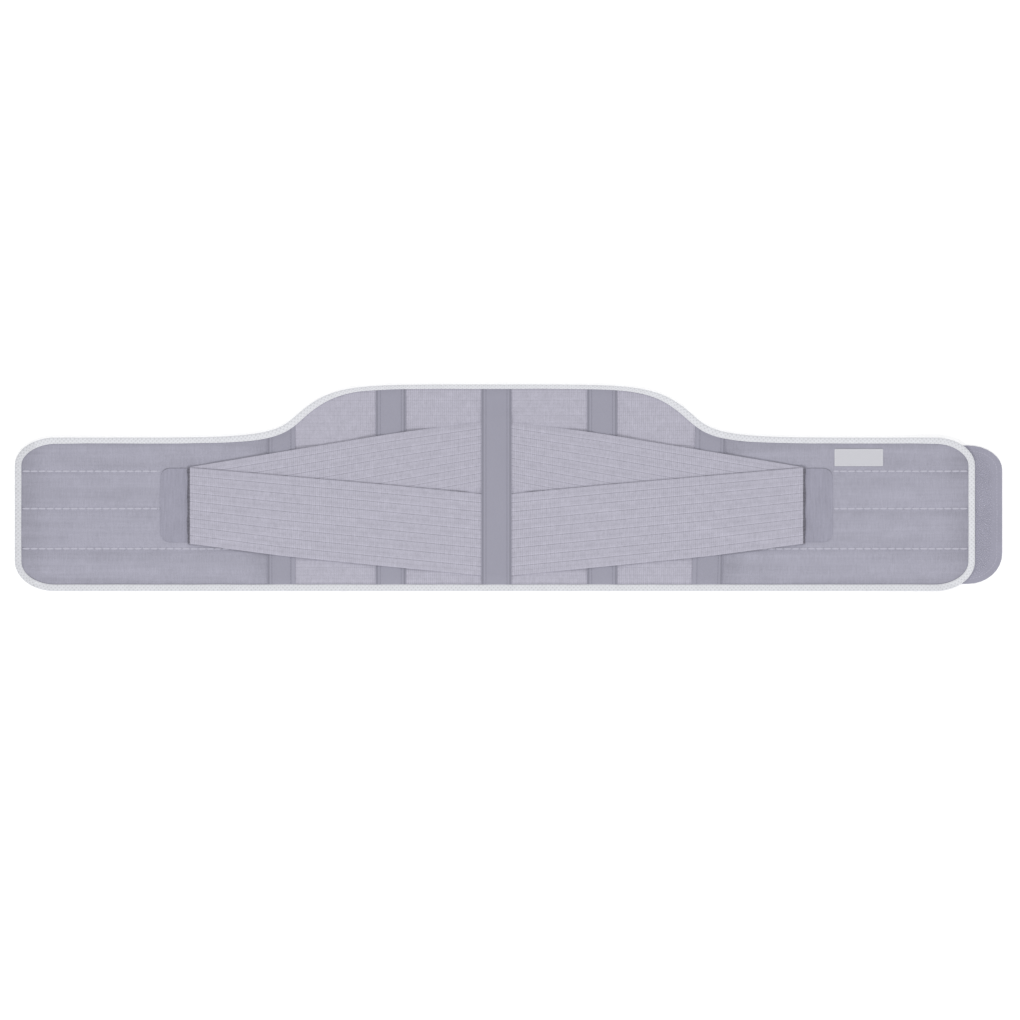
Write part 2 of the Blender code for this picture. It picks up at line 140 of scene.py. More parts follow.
camera_data = bpy.data.cameras.new("camera")
camera_data.lens = LENS
camera_data.sensor_width = SENSOR
camera_data.dof.use_dof = False
camera = show("camera", camera_data)
distance = FRAME_WIDTH * LENS / SENSOR
camera.location = spot(*VIEW_CENTRE, BELT_SURFACE + distance)
scene.camera = camera
scene.view_settings.view_transform = "Standard"
scene.view_settings.look = "None"

SKY = 0.60
world = bpy.data.worlds.new("white_studio")
world.use_nodes = True
sky = world.node_tree.nodes["Background"]
sky.inputs["Color"].default_value = (1.0, 1.0, 1.0, 1.0)
sky.inputs["Strength"].default_value = SKY
scene.world = world


def lamp(name, along, up, high, size, power):
    """A square soft box that faces the middle of the belt; places in millimetres."""
    data = bpy.data.lights.new(name, "AREA")
    data.shape = "SQUARE"
    data.size = size
    data.energy = power
    made = show(name, data)
    made.location = spot(along, up, high)
    away = made.location - spot(0.0, BACK_HEIGHT / 2, 0.0)
    made.rotation_euler = away.to_track_quat("Z", "Y").to_euler()


lamp("key", 0.0, -2300.0, 2300.0, 0.9, 37.0)
lamp("fill", 0.0, 1500.0, 2600.0, 2.0, 20.0)
print(f"camera {distance:.0f} mm above the cloth")

# %% Lay the table
FLOOR_SIZE = 12.0


def as_mesh(name, bm):
    """Keep a finished bmesh as a mesh."""
    mesh = bpy.data.meshes.new(name)
    bm.to_mesh(mesh)
    bm.free()
    return mesh


bm = bmesh.new()
bmesh.ops.create_grid(bm, x_segments=1, y_segments=1, size=FLOOR_SIZE / 2)
floor = show("floor", as_mesh("floor", bm))
floor_look = bpy.data.materials.new("white_table")
floor_look.use_nodes = True
floor_shader = floor_look.node_tree.nodes["Principled BSDF"]
floor_shader.inputs["Base Color"].default_value = (0.95, 0.95, 0.95, 1.0)
floor_shader.inputs["Roughness"].default_value = 0.9
floor_shader.inputs["Emission Color"].default_value = (1.0, 1.0, 1.0, 1.0)
floor_shader.inputs["Emission Strength"].default_value = 0.22
floor.data.materials.append(floor_look)
print(f"table {FLOOR_SIZE:.0f} m wide")

# %% [markdown]
# ## The belt's outline
#
# The edge runs level over the raised back, falls over a shoulder on each side to the wings, and
# turns round two soft corners at each end. It could be a curve object, but both the padding and
# the tapes need to ask where the edge is. So the edge is worked out once as evenly spaced
# stations, and a lookup tree answers how far any place lies inside it.

# %% Draw the edge
WING_HEIGHT = 156.9
TOP_CORNER = (41.0, 28.5)
BOTTOM_CORNER = (41.0, 30.5)
# Each knot: along, up, slope in degrees, and the handles back to the middle and on to the end.
SHOULDER = (
    (31.3, BACK_HEIGHT, 0.0, 0.0, 115.4),
    (203.3, 179.0, -42.4, 47.2, 24.2),
    (342.4, WING_HEIGHT, 0.0, 107.0, 0.0),
)
SHOULDER_POINTS = 40
CORNER_POINTS = 24


def quarter(centre, radii, start):
    """A quarter of an ellipse, clockwise from start degrees."""
    points = []
    for turn in np.radians(np.linspace(start, start - 90.0, CORNER_POINTS)):
        along = centre[0] + radii[0] * math.cos(turn)
        up = centre[1] + radii[1] * math.sin(turn)
        points.append((along, up))
    return points


def handle(length, slope):
    turn = math.radians(slope)
    return Vector((length * math.cos(turn), length * math.sin(turn)))


def shoulder_line():
    """The curve from the level top down to the wing, as points."""
    points = []
    for (along, up, slope, _, on), knot in zip(SHOULDER, SHOULDER[1:]):
        next_along, next_up, next_slope, back, _ = knot
        start = Vector((along, up))
        end = Vector((next_along, next_up))
        leaving = start + handle(on, slope)
        arriving = end - handle(back, next_slope)
        curve = interpolate_bezier(start, leaving, arriving, end, SHOULDER_POINTS)
        points += [tuple(point)[:2] for point in curve]
    return points


def right_half():
    """From the top middle round the right end to the bottom middle."""
    line = [(0.0, BACK_HEIGHT)] + shoulder_line()
    line += quarter((REACH - TOP_CORNER[0], WING_HEIGHT - TOP_CORNER[1]), TOP_CORNER, 90.0)
    line += quarter((REACH - BOTTOM_CORNER[0], BOTTOM_CORNER[1]), BOTTOM_CORNER, 0.0)
    return line + [(0.0, 0.0)]


print(f"{len(right_half())} points round the right half")

# %% Walk round the edge
STATION_STEP = 3.0
# How wide the binding shows along the upper edge, by distance from the middle.
TAPE_WIDTHS = (
    (0.0, 4.7),
    (140.0, 4.7),
    (155.0, 5.2),
    (185.0, 6.9),
    (200.0, 7.4),
    (250.0, 6.9),
    (300.0, 6.2),
    (420.0, 6.2),
    (480.0, 7.1),
)
TAPE_WIDTH = 7.1


def even_stations():
    """The closed edge as points a step apart, clockwise from the top middle."""
    right = right_half()
    loop = np.array(right + [(-along, up) for along, up in reversed(right)] + right[:1])
    run = np.concatenate([[0.0], np.cumsum(np.hypot(*np.diff(loop, axis=0).T))])
    count = round(run[-1] / STATION_STEP)
    marks = np.linspace(0.0, run[-1], count, endpoint=False)
    return np.column_stack([np.interp(marks, run, loop[:, i]) for i in (0, 1)]), run[-1]


edge, edge_length = even_stations()
ahead = np.roll(edge, -1, axis=0) - np.roll(edge, 1, axis=0)
ahead /= np.linalg.norm(ahead, axis=1)[:, None]
inward = np.column_stack([ahead[:, 1], -ahead[:, 0]])
tape_width = np.where(
    edge[:, 1] > WING_HEIGHT / 2,
    [table(TAPE_WIDTHS, abs(along)) for along in edge[:, 0]],
    TAPE_WIDTH,
)
print(f"{len(edge)} stations round an edge {edge_length:.0f} mm long")

# %% Ask where the edge is
edge_tree = KDTree(len(edge))
for index, (along, up) in enumerate(edge):
    edge_tree.insert((along, up, 0.0), index)
edge_tree.balance()


def inside_tape(along, up):
    """How far a place lies inside the binding's inner edge; less than 0 under the binding."""
    _, index, away = edge_tree.find((along, up, 0.0))
    return away - tape_width[index]


def limits(inset, past_tape=False):
    """The edge moved in by inset: the upper and the lower side, each sorted along the belt."""
    depth = inset + tape_width * past_tape
    moved = edge + inward * depth[:, None]
    sides = []
    for side in (moved[edge[:, 1] > WING_HEIGHT / 2], moved[edge[:, 1] <= WING_HEIGHT / 2]):
        side = side[np.argsort(side[:, 0])]
        sides.append((side[:, 0], side[:, 1]))
    return sides


def up_at(side, along):
    """How far up one side of limits() lies at a place along the belt."""
    return float(np.interp(along, *side))


print(f"the belt's middle lies {inside_tape(0.0, BACK_HEIGHT / 2):.0f} mm inside the binding")

# %% [markdown]
# ## Tools for cloth
#
# Every cloth piece here starts as a flat grid that a rule bends into place, the way a pattern
# piece is cut flat and then sewn. Sculpting each by hand would give the same folds but not the
# same fit. The grid keeps a UV map in metres of cloth, so that a weave stays the same size
# however the piece is pulled. A wall and a soft bevel make the open skin real cloth.

# %% Bend a grid
WELD = 2e-5


def grid_of(columns, rows, shape, thread):
    """A grid bent by shape(across, upward) with cloth coordinates from thread(across, upward)."""
    bm = bmesh.new()
    layer = bm.loops.layers.uv.new("cloth")
    bmesh.ops.create_grid(bm, x_segments=len(columns) - 1, y_segments=len(rows) - 1, size=1.0)
    cells = {}
    for vert in bm.verts:
        i = round((vert.co.x + 1) / 2 * (len(columns) - 1))
        j = round((vert.co.y + 1) / 2 * (len(rows) - 1))
        cells[vert] = (columns[i], rows[j])
    for face in bm.faces:
        for loop in face.loops:
            loop[layer].uv = thread(*cells[loop.vert])
    for vert, (across, upward) in cells.items():
        vert.co = shape(across, upward)
    return bm


def face_up(bm):
    """Turn an open skin so that its larger part faces the camera above."""
    bm.normal_update()
    if sum(face.normal.z * face.calc_area() for face in bm.faces) < 0:
        bmesh.ops.reverse_faces(bm, faces=bm.faces[:])


print(f"points closer than {WELD / MM:.2f} mm are welded")

# %% Keep a piece
SHARP = math.radians(50)
RIM = math.radians(70)


def piece(name, bm, look, nodes=()):
    """Keep a finished bmesh as a shown piece that rides on the belt's one body."""
    mesh = as_mesh(name, bm)
    mesh.shade_smooth()
    mesh.set_sharp_from_angle(angle=SHARP)
    mesh.materials.append(look)
    made = show(name, mesh)
    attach(made, "root")
    if nodes:
        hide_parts(*nodes)
    print(f"{name}: {len(mesh.polygons)} faces")
    return made


def stamp(bm, shape, matrix):
    """Add a copy of a small mesh that is made once and used many times."""
    copy = shape.copy()
    copy.transform(matrix)
    bm.from_mesh(copy)
    bpy.data.meshes.remove(copy)


def of_kind(geom, kind):
    """The points or the edges among what an operator returned."""
    return [item for item in geom if isinstance(item, kind)]


def wall(made, thickness, rounding=0.25):
    """Give an open skin its thickness, downwards, and round the rim."""
    solid = made.modifiers.new("wall", "SOLIDIFY")
    solid.thickness = thickness * MM
    solid.offset = -1.0
    rim = made.modifiers.new("soft_rim", "BEVEL")
    rim.width = rounding * MM
    rim.segments = 2
    rim.limit_method = "ANGLE"
    rim.angle_limit = RIM
    return made


print(f"edges sharper than {math.degrees(SHARP):.0f} degrees stay crisp")

# %% Raise the right end
LIFT = 1.5
LIFT_FROM, LIFT_TO = 405.0, 447.0


def lift(along):
    """How much the right end is raised by the closure tab that lies under it."""
    return LIFT * smooth((along - LIFT_FROM) / (LIFT_TO - LIFT_FROM))


print(f"the right end lies {lift(REACH):.1f} mm higher, the left end {lift(-REACH):.1f} mm")

# %% [markdown]
# ## Tools for finishes
#
# A cloth finish is a base colour that many small patterns push a little lighter or darker, and
# the same patterns as bump. Image textures would do this too, but they blur when a camera comes
# close. Here each pattern is a few nodes, and one helper adds a node and wires it in one call.

# %% Wire nodes
class Finish:
    """A material under construction: node() adds a node, maths() one sum."""

    def __init__(self, name, roughness):
        self.material = bpy.data.materials.new(name)
        self.material.use_nodes = True
        self.tree = self.material.node_tree
        self.shader = self.tree.nodes["Principled BSDF"]
        self.shader.inputs["Roughness"].default_value = roughness
        self.shader.inputs["Specular IOR Level"].default_value = 0.25

    def node(self, kind, values, **settings):
        made = self.tree.nodes.new(f"ShaderNode{kind}")
        for key, value in settings.items():
            setattr(made, key, value)
        for key, value in values.items():
            if isinstance(value, bpy.types.NodeSocket):
                self.tree.links.new(value, made.inputs[key])
            else:
                made.inputs[key].default_value = value
        return made

    def maths(self, operation, *values):
        return self.node("Math", dict(enumerate(values)), operation=operation).outputs[0]

    def place(self, scale):
        """Object coordinates, scaled to repeats per metre along each axis."""
        source = self.node("TexCoord", {}).outputs["Object"]
        return self.node("Mapping", {"Vector": source, "Scale": scale}).outputs[0]

    def threads(self):
        """The cloth's own coordinates, u along the thread and v across it."""
        source = self.node("UVMap", {}, uv_map="cloth").outputs[0]
        parts = self.node("SeparateXYZ", {"Vector": source})
        return parts.outputs[0], parts.outputs[1]

    def grain(self, scale, detail=2.0):
        """Noise that repeats about this often per metre, 0 to 1."""
        values = {"Vector": self.place(scale), "Scale": 1.0, "Detail": detail}
        return self.node("TexNoise", values).outputs["Fac"]

    def fleck(self, scale, detail=2.0):
        """The same noise about 0, so that it lightens as much as it darkens."""
        return self.maths("SUBTRACT", self.grain(scale, detail), 0.5)

    def wave(self, coordinate, pitch):
        """A sine of -1 to 1 that repeats every pitch."""
        return self.maths("SINE", self.maths("MULTIPLY", coordinate, 2 * math.pi / pitch))

    def ramp(self, value, start, end, curve="LINEAR"):
        """0 where the value is at start, and 1 where it is at end."""
        values = {"Value": value, "From Min": start, "From Max": end}
        return self.node("MapRange", values, interpolation_type=curve).outputs[0]

    def line(self, coordinate, width):
        """1 on every whole number of the coordinate, falling to 0 at width on each side."""
        off = self.maths("PINGPONG", coordinate, 0.5)
        return self.ramp(off, width, width * 0.2, "SMOOTHSTEP")

    def added(self, total, *parts):
        """A number with patterns added to it, each (pattern, amount)."""
        for pattern, amount in parts:
            total = self.maths("ADD", total, self.maths("MULTIPLY", pattern, amount))
        return total

    def shade(self, base, *pushes):
        """The base colour made lighter or darker: each push is (pattern, amount)."""
        total = self.added(1.0, *pushes)
        tinted = self.node("VectorMath", {0: base[:3], "Scale": total}, operation="SCALE")
        self.tree.links.new(tinted.outputs[0], self.shader.inputs["Base Color"])
        return self

    def bump(self, height, depth, strength=1.0):
        values = {"Height": height, "Distance": depth * MM, "Strength": strength}
        made = self.node("Bump", values)
        self.tree.links.new(made.outputs[0], self.shader.inputs["Normal"])
        return self

    def sheen(self, weight, roughness=0.5):
        self.shader.inputs["Sheen Weight"].default_value = weight
        self.shader.inputs["Sheen Roughness"].default_value = roughness
        return self

    def finished(self):
        print(f"{self.material.name}: {len(self.tree.nodes)} nodes")
        return self.material


print("patterns for a finish: grain, fleck, wave, ramp, line")

# %% [markdown]
# ## Loop cloth
#
# The wings are faced with brushed loop cloth, the soft half of a hook-and-loop pair. Close up it
# is a felt of tiny loops, combed upright, with a faint sheen. Real loops by the million are out of
# reach, so fine noise stretched upwards gives the combed streaks, a wider noise paints soft level
# bands of shade like the shading of the padding's puffs, and a fine grain pushes the bump.

# %% Finish: loop cloth
LOOP = 2.1 * MM


def loop_cloth():
    made = Finish("loop_cloth", 0.95)
    along, upward = made.threads()
    streaks = made.fleck((900.0, 90.0, 1.0), 3.0)
    # Painted shade: soft level bands, darker and lighter, like the shading of the padding's puffs.
    bands = made.fleck((3.0, 62.0, 1.0))
    rows = made.fleck((14.0, 380.0, 1.0))
    patches = made.fleck((40.0, 55.0, 1.0), 3.0)
    fuzz = made.fleck((1300.0, 1000.0, 1300.0), 3.0)
    knit = made.maths("MULTIPLY", made.wave(along, LOOP), made.wave(upward, LOOP))
    # How dark the cloth is drawn near its rim: painted shade along the binding, and darker towards
    # a casing or an end.
    rim_shade = made.node("Attribute", {}, attribute_name="rim").outputs["Fac"]
    made.shade(
        colour(167, 166, 180),
        (streaks, 0.28),
        (bands, 0.26),
        (patches, 0.18),
        (fuzz, 0.40),
        (rows, 0.18),
        (knit, 0.018),
        (rim_shade, -0.11),
    )
    nap = made.added(0.0, (streaks, 0.5), (fuzz, 0.5))
    return made.bump(nap, 0.35, 0.8).sheen(0.15).finished()


loop_look = loop_cloth()

# %% [markdown]
# ## The quilted wings
#
# Each wing is a padded panel: loop cloth over thin foam, sewn flat along three level lines and
# round its edge. The padding could be drawn as a bulge between the lines, but cloth that is
# really inflated puckers by itself where it is held. So the top sheet is pinned at its seams,
# blown up by the cloth solver, and its rise is then held down under whatever is sewn over it.

# %% Shape a panel
SEWN_SHIFT = 1.7
SEAM_AT = 218.4
CASING_HALF = 15.5
TUCK = 1.4  # how far the panels reach in from the binding's fold
PINCH_TOP = 2.45
PINCH_LOW = 1.1
PINCH_RUN = 3.2
UNDERSIDE = 0.05
UNDER_FROM, UNDER_RUN = -1.0, 2.5


def body_top(along, up):
    """The padded body's upper face: full inside the binding, pinched flat under it."""
    return PINCH_TOP + (BODY_TOP - PINCH_TOP) * smooth(inside_tape(along, up) / PINCH_RUN)


def body_low(along, up):
    """Its lower face: flat on the table, and lifted under the binding."""
    eased_down = smooth((inside_tape(along, up) - UNDER_FROM) / UNDER_RUN)
    return PINCH_LOW + (UNDERSIDE - PINCH_LOW) * eased_down


def even(start, end, step):
    """Evenly spaced places from start to end, about a step apart."""
    return list(np.linspace(start, end, max(2, round(abs(end - start) / step) + 1)))


def panel(columns, rows, surface, thread):
    """A top sheet trimmed to the belt's edge: places past the edge slide back onto it."""
    top, low = limits(TUCK)

    def shape(along, up):
        up = min(max(up, up_at(low, along)), up_at(top, along))
        return spot(along, up, surface(along, up))

    bm = grid_of(columns, rows, shape, thread)
    bmesh.ops.remove_doubles(bm, verts=bm.verts[:], dist=WELD)
    bmesh.ops.dissolve_degenerate(bm, edges=bm.edges[:], dist=WELD)
    face_up(bm)
    return bm


def close_below(bm):
    """Pull a copy of the top sheet down to the table and join the two all round."""
    flat = bmesh.ops.extrude_face_region(bm, geom=bm.faces[:])["geom"]
    for vert in of_kind(flat, bmesh.types.BMVert):
        along, up, _ = on_belt(vert.co)
        vert.co.z = (body_low(along, up) + lift(along)) * MM
    bmesh.ops.recalc_face_normals(bm, faces=bm.faces[:])


inner, outer = body_top(0.0, BACK_HEIGHT / 2), body_top(0.0, BACK_HEIGHT)
print(f"the body's top is {inner:.2f} mm high, and {outer:.2f} mm where the binding grips it")

# %% Leave room for the padding
QUILT_LINES = (43.5, 84.4, 122.6)
QUILT_PITCH = 8.16
QUILT_END = REACH - TAPE_WIDTH - 0.5
QUILT_DIP = 1.2
WING_STEP = 3.0
PUFF = 1.5  # the most that the padding rises where nothing lies on it
PRESSED = 0.12
EASE = 9.0
SEWN_ON = [
    tuple(on_belt(corner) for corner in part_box(node))
    for node in ("strap_tab_left", "strap_tab_right", "label")
]


def outside_box(along, up, box):
    """How far a place lies outside a box, seen from above."""
    low, high = box
    beyond = (max(low[0] - along, along - high[0], 0.0), max(low[1] - up, up - high[1], 0.0))
    return math.hypot(*beyond)


def room(along, up):
    """How far the padding may rise here before it meets what is sewn over it."""
    away = abs(along - SEWN_SHIFT) - SEAM_AT - CASING_HALF
    away = min(away, *(outside_box(along, up, box) for box in SEWN_ON))
    return PRESSED + (PUFF - PRESSED) * smooth(away / EASE)


def on_quilting(up):
    return min(abs(up - line) for line in QUILT_LINES) < WING_STEP / 4


def pucker(along):
    """How far the thread pulls the cloth down: most at each needle hole."""
    phase = (QUILT_END - abs(along)) / QUILT_PITCH
    return QUILT_DIP * (1.0 - abs(phase - round(phase)))


def wing_columns(end, seam):
    """Columns from the wing's end to the back's seam, three to a stitch of the quilting."""
    past_quilting = even(abs(end), QUILT_END, 2.0)[:-1]
    quilted = list(np.arange(QUILT_END, abs(seam), -QUILT_PITCH / 3))[:-1]
    side = math.copysign(1.0, end)
    return sorted(side * along for along in [*past_quilting, *quilted, abs(seam)])


def wing_rows(top):
    """Rows that fall on the stitch lines, with the rest spread evenly between them."""
    rows = [0.0]
    for line in (*QUILT_LINES, top):
        rows += even(rows[-1], line, WING_STEP)[1:]
    return rows


print(f"room to rise: {room(REACH - 60.0, WING_HEIGHT / 2):.2f} mm far from any seam")

# %% Inflate the wings
PRESSURE = 30.0
SOLVER_FRAMES = 16
HELD_INSIDE = 0.5


def inflate(sheet):
    """Run the cloth solver on a pinned sheet and return how far each point rose."""
    cloth = sheet.modifiers.new("cloth", "CLOTH")
    settings = cloth.settings
    settings.quality = 6
    settings.mass = 0.2
    settings.tension_stiffness = 5.0
    settings.compression_stiffness = 5.0
    settings.shear_stiffness = 4.0
    settings.bending_stiffness = 0.6
    settings.vertex_group_mass = "sewn"
    settings.use_pressure = True
    settings.uniform_pressure_force = PRESSURE
    settings.effector_weights.gravity = 0.0
    cloth.point_cache.frame_start = 1
    cloth.point_cache.frame_end = SOLVER_FRAMES
    before = [vert.co.z for vert in sheet.data.vertices]
    for step in range(1, SOLVER_FRAMES + 1):
        scene.frame_set(step)
    graph = bpy.context.evaluated_depsgraph_get()
    blown = sheet.evaluated_get(graph).to_mesh()
    rises = [vert.co.z - old for vert, old in zip(blown.vertices, before)]
    sheet.modifiers.remove(cloth)
    scene.frame_set(1)
    return rises


def held_points(bm):
    """The points that thread or the binding holds: the sheet's rim and its quilting lines."""
    held = []
    for vert in bm.verts:
        along, up, _ = on_belt(vert.co)
        if vert.is_boundary or on_quilting(up) or inside_tape(along, up) < HELD_INSIDE:
            held.append(vert.index)
    return held


def blown_up(name, bm):
    """How far each point of a top sheet rises when air is blown under it."""
    mesh = bpy.data.meshes.new(name)
    bm.to_mesh(mesh)
    sheet = show(name, mesh)
    sewn = sheet.vertex_groups.new(name="sewn")
    sewn.add(held_points(bm), 1.0, "REPLACE")
    rises = inflate(sheet)
    bpy.data.objects.remove(sheet, do_unlink=True)
    return rises


print(f"the solver runs for {SOLVER_FRAMES} frames")

# %% Quilt the wings
# Painted shade: the cloth is drawn darker this close to the binding, where the pinched body dips,
# and also darker this close to a casing or an end.
EDGE_SHADE_RUN = 10.0
SEAM_DARK_RUN = 34.0
EDGE_SHARE = 0.6
SEAM_GAP = 0.3


def paint_rim_shade(bm):
    """Keep on each point how dark the finish draws it there: painted shade near the binding, and
    darker near a casing or an end.
    """
    rim = bm.verts.layers.float.new("rim")
    for vert in bm.verts:
        along, up, _ = on_belt(vert.co)
        from_casing = abs(along - SEWN_SHIFT) - SEAM_AT - CASING_HALF
        from_seam = min(from_casing, REACH - TAPE_WIDTH - abs(along))
        at_edge = EDGE_SHARE * (1.0 - smooth(inside_tape(along, up) / EDGE_SHADE_RUN))
        vert[rim] = max(at_edge, 1.0 - smooth(from_seam / SEAM_DARK_RUN))


def wing(hand, side):
    top, _ = limits(TUCK)
    seam = SEWN_SHIFT + side * (SEAM_AT + SEAM_GAP)
    bm = panel(
        wing_columns(side * (REACH - TUCK), seam),
        wing_rows(up_at(top, SEAM_AT - 4.0)),
        body_top,
        lambda along, up: (along * MM, up * MM),
    )
    rises = blown_up(f"{hand}_sheet", bm)
    print(f"{hand} wing: cloth rose {max(rises) / MM:.2f} mm before it was held down")
    for vert, risen in zip(bm.verts, rises):
        along, up, _ = on_belt(vert.co)
        vert.co.z += min(max(risen, 0.0), room(along, up) * MM) + lift(along) * MM
        if on_quilting(up) and inside_tape(along, up) > 0.0:
            vert.co.z -= pucker(along) * MM
    paint_rim_shade(bm)
    close_below(bm)
    made = piece(f"quilted_wing_{hand}", bm, loop_look, [f"wing_{hand}"])
    rounding = made.modifiers.new("soft", "SUBSURF")
    rounding.levels = 1
    rounding.render_levels = 1
    return made


wings = {side: wing(hand, side) for side, hand in SIDES}

# %% [markdown]
# ## Ribbed elastic
#
# The back and the straps are one kind of elastic: covered rubber runs along it, and the knit draws
# in between the rows. From above it shows thin dark rib lines with faint lines halfway, and fine
# upright ticks of yarn across them. The ribs are real relief in the meshes. The finish also paints
# shade into their grooves and halfway lines and a little light on the shoulders beside them, and
# adds the ticks, which are too fine to model.

# %% Finish: ribbed elastic
TICK = 2.05 * MM
THREADS_IN_A_RIB = 5.0


def ribbed_elastic(name, groove_shade, halfway_shade):
    made = Finish(name, 0.85)
    along, ribs = made.threads()
    # Painted shade in the rib grooves and halfway lines, and painted light on the shoulders beside
    # each groove.
    groove = made.line(ribs, 0.07)
    halfway = made.line(made.maths("ADD", ribs, 0.5), 0.07)
    shoulder = made.maths("SUBTRACT", made.line(ribs, 0.28), groove)
    tick = made.maths("PINGPONG", made.maths("DIVIDE", along, TICK), 0.5)
    ticks = made.ramp(tick, 0.02, 0.3, "SMOOTHSTEP")
    fine = made.wave(ribs, 1.0 / THREADS_IN_A_RIB)
    uneven = made.maths("MULTIPLY", ticks, made.grain((90.0, 160.0, 1.0), 3.0))
    patches = made.fleck((70.0, 90.0, 1.0), 3.0)
    yarn = made.fleck((1100.0, 1100.0, 1100.0))
    columns = made.fleck((480.0, 110.0, 1.0))
    made.shade(
        colour(174, 172, 185),
        (groove, -groove_shade),
        (halfway, -halfway_shade),
        (shoulder, groove_shade * 0.3),
        (uneven, 0.26),
        (fine, 0.022),
        (patches, 0.07),
        (yarn, 0.40),
        (columns, 0.28),
    )
    relief = made.added(0.0, (uneven, 0.4), (fine, 0.2))
    return made.bump(relief, 0.3, 0.7).sheen(0.08).finished()


strap_look = ribbed_elastic("strap_elastic", 0.25, 0.09)
back_look = ribbed_elastic("ribbed_elastic", 0.09, 0.04)

# %% [markdown]
# ## The ribbed back
#
# The raised back is one panel of that elastic, its ribs level and evenly spaced, sewn to the
# wings under the outer tapes. A displacement map could carve the ribs, but few rows of faces are
# enough if they stand where a rib turns. So the grid's rows are placed rib by rib, close
# together in each groove.

# %% Knit the back panel
RIB_PITCH = 7.75
RIB_FIRST = 16.8
RIB_STEPS = (0.0, 0.05, 0.11, 0.22, 0.36, 0.5, 0.64, 0.78, 0.89, 0.95)
RIB_DEPTH = 0.32
HALFWAY_DEPTH = 0.07
GROOVE_HALF = 0.12  # in ribs, as are the steps above
BACK_STEP = 7.0
BACK_SHARE = 0.5  # the back is stretched flatter than the straps
WAVER = 0.10


def rib_relief(ribs):
    """Depth of the elastic's surface under its highest line, at a place counted in ribs."""
    off = abs(ribs - round(ribs))
    groove = 1.0 - smooth(off / GROOVE_HALF)
    halfway = 1.0 - smooth(abs(off - 0.5) / GROOVE_HALF)
    return RIB_DEPTH * groove + HALFWAY_DEPTH * halfway


def back_ribs(up):
    return (up - RIB_FIRST) / RIB_PITCH


def back_surface(along, up):
    shape = body_top(along, up)
    quiet = smooth(inside_tape(along, up) / 3.0)
    waver = noise.noise(Vector((along * 0.018, up * 0.03, 0.0))) * WAVER
    return shape + quiet * (waver - BACK_SHARE * rib_relief(back_ribs(up)))


def rows_by_rib():
    """Rows up the back, close together in each groove."""
    rows = [0.0]
    for rib in range(math.floor(back_ribs(0.0)), math.ceil(back_ribs(BACK_HEIGHT))):
        for share in RIB_STEPS:
            up = RIB_FIRST + RIB_PITCH * (rib + share)
            if 0.0 < up < BACK_HEIGHT:
                rows.append(up)
    return rows + [BACK_HEIGHT]


back_from, back_to = SEWN_SHIFT - SEAM_AT, SEWN_SHIFT + SEAM_AT
bm = panel(
    even(back_from, back_to, BACK_STEP),
    rows_by_rib(),
    back_surface,
    lambda along, up: (along * MM, back_ribs(up)),
)
close_below(bm)
back = piece("ribbed_back", bm, back_look, ["back_panel"])
top, low = limits(TUCK)
heights = [up_at(top, along) - up_at(low, along) for along in np.linspace(back_from, back_to, 200)]

# %% [markdown]
# ## The mesh binding
#
# A white mesh tape is folded over the edge all the way round and sewn through. It looks like a
# string of fine dots in slanting rows. A curve with a bevel could follow the edge, but the tape
# changes width over the back and has to open to the inside. So one grid is wrapped: its columns
# walk round the stations and its rows walk over the fold, from the upper lip to the lower one.

# %% Finish: mesh tape
HOLE_PITCH = 4.3 * MM
HOLE_ROWS = 4.5 * MM


def mesh_tape():
    made = Finish("mesh_binding", 0.8)
    along, across = made.threads()
    crossing = made.maths("MULTIPLY", made.wave(along, HOLE_PITCH), made.wave(across, HOLE_ROWS))
    # Painted shade: the mesh's holes are drawn darker.
    holes = made.ramp(crossing, 0.1, 0.75)
    patches = made.fleck((120.0, 120.0, 1.0))
    yarn = made.fleck((1700.0, 1700.0, 1700.0))
    # Painted shade: the tape is drawn darker at both ends and along the lower edge.
    aside, upward, _ = made.node("SeparateXYZ", {"Vector": made.place((1.0, 1.0, 1.0))}).outputs
    ends = made.maths("GREATER_THAN", made.maths("ABSOLUTE", aside), (REACH - TAPE_WIDTH) * MM)
    below = made.maths("LESS_THAN", upward, lower_edge + TAPE_WIDTH * MM)
    made.shade(
        colour(228, 229, 234),
        (holes, -0.16),
        (patches, 0.12),
        (yarn, 0.12),
        (ends, -0.08),
        (below, -0.06),
    )
    return made.bump(crossing, -0.25, 0.8).sheen(0.05).finished()


binding_look = mesh_tape()

# %% Fold the binding over the edge
TAPE_WALL = 0.7
FOLD_DEEP = 1.1
FOLD_STEPS = 7
LIP_WAVER = 0.22


def tape_profile():
    """Rows over the fold: (share of the width, distance in from the fold, height)."""
    rows = [
        (1.0, 0.0, TAPE_TOP - 0.30),
        (0.94, 0.0, TAPE_TOP - 0.02),
        (0.72, 0.0, TAPE_TOP + 0.06),
        (0.5, 0.0, TAPE_TOP + 0.04),
    ]
    centre = TAPE_TOP / 2
    for turn in np.radians(np.linspace(90.0, -90.0, FOLD_STEPS)):
        inset = FOLD_DEEP * (1 - math.cos(turn))
        rows.append((0.0, inset, centre + (centre - 0.02) * math.sin(turn)))
    return rows + [(0.6, 0.0, 0.02), (1.0, 0.0, 0.04)]


profile = tape_profile()
profile_run = [0.0]
for (share, inset, high), (next_share, next_inset, next_high) in zip(profile, profile[1:]):
    aside = (next_share - share) * TAPE_WIDTH + next_inset - inset
    profile_run.append(profile_run[-1] + math.hypot(aside, next_high - high))


def binding_spot(station, row):
    index = int(round(station)) % len(edge)
    share, inset, high = profile[int(round(row))]
    waver = noise.noise(Vector((index * 0.11, 3.7, 0.0))) * LIP_WAVER
    reach = share * (tape_width[index] + waver) + inset
    along, up = edge[index] + inward[index] * reach
    return spot(along, up, high + lift(along))


def binding_thread(station, row):
    return station * edge_length / len(edge) * MM, profile_run[int(round(row))] * MM


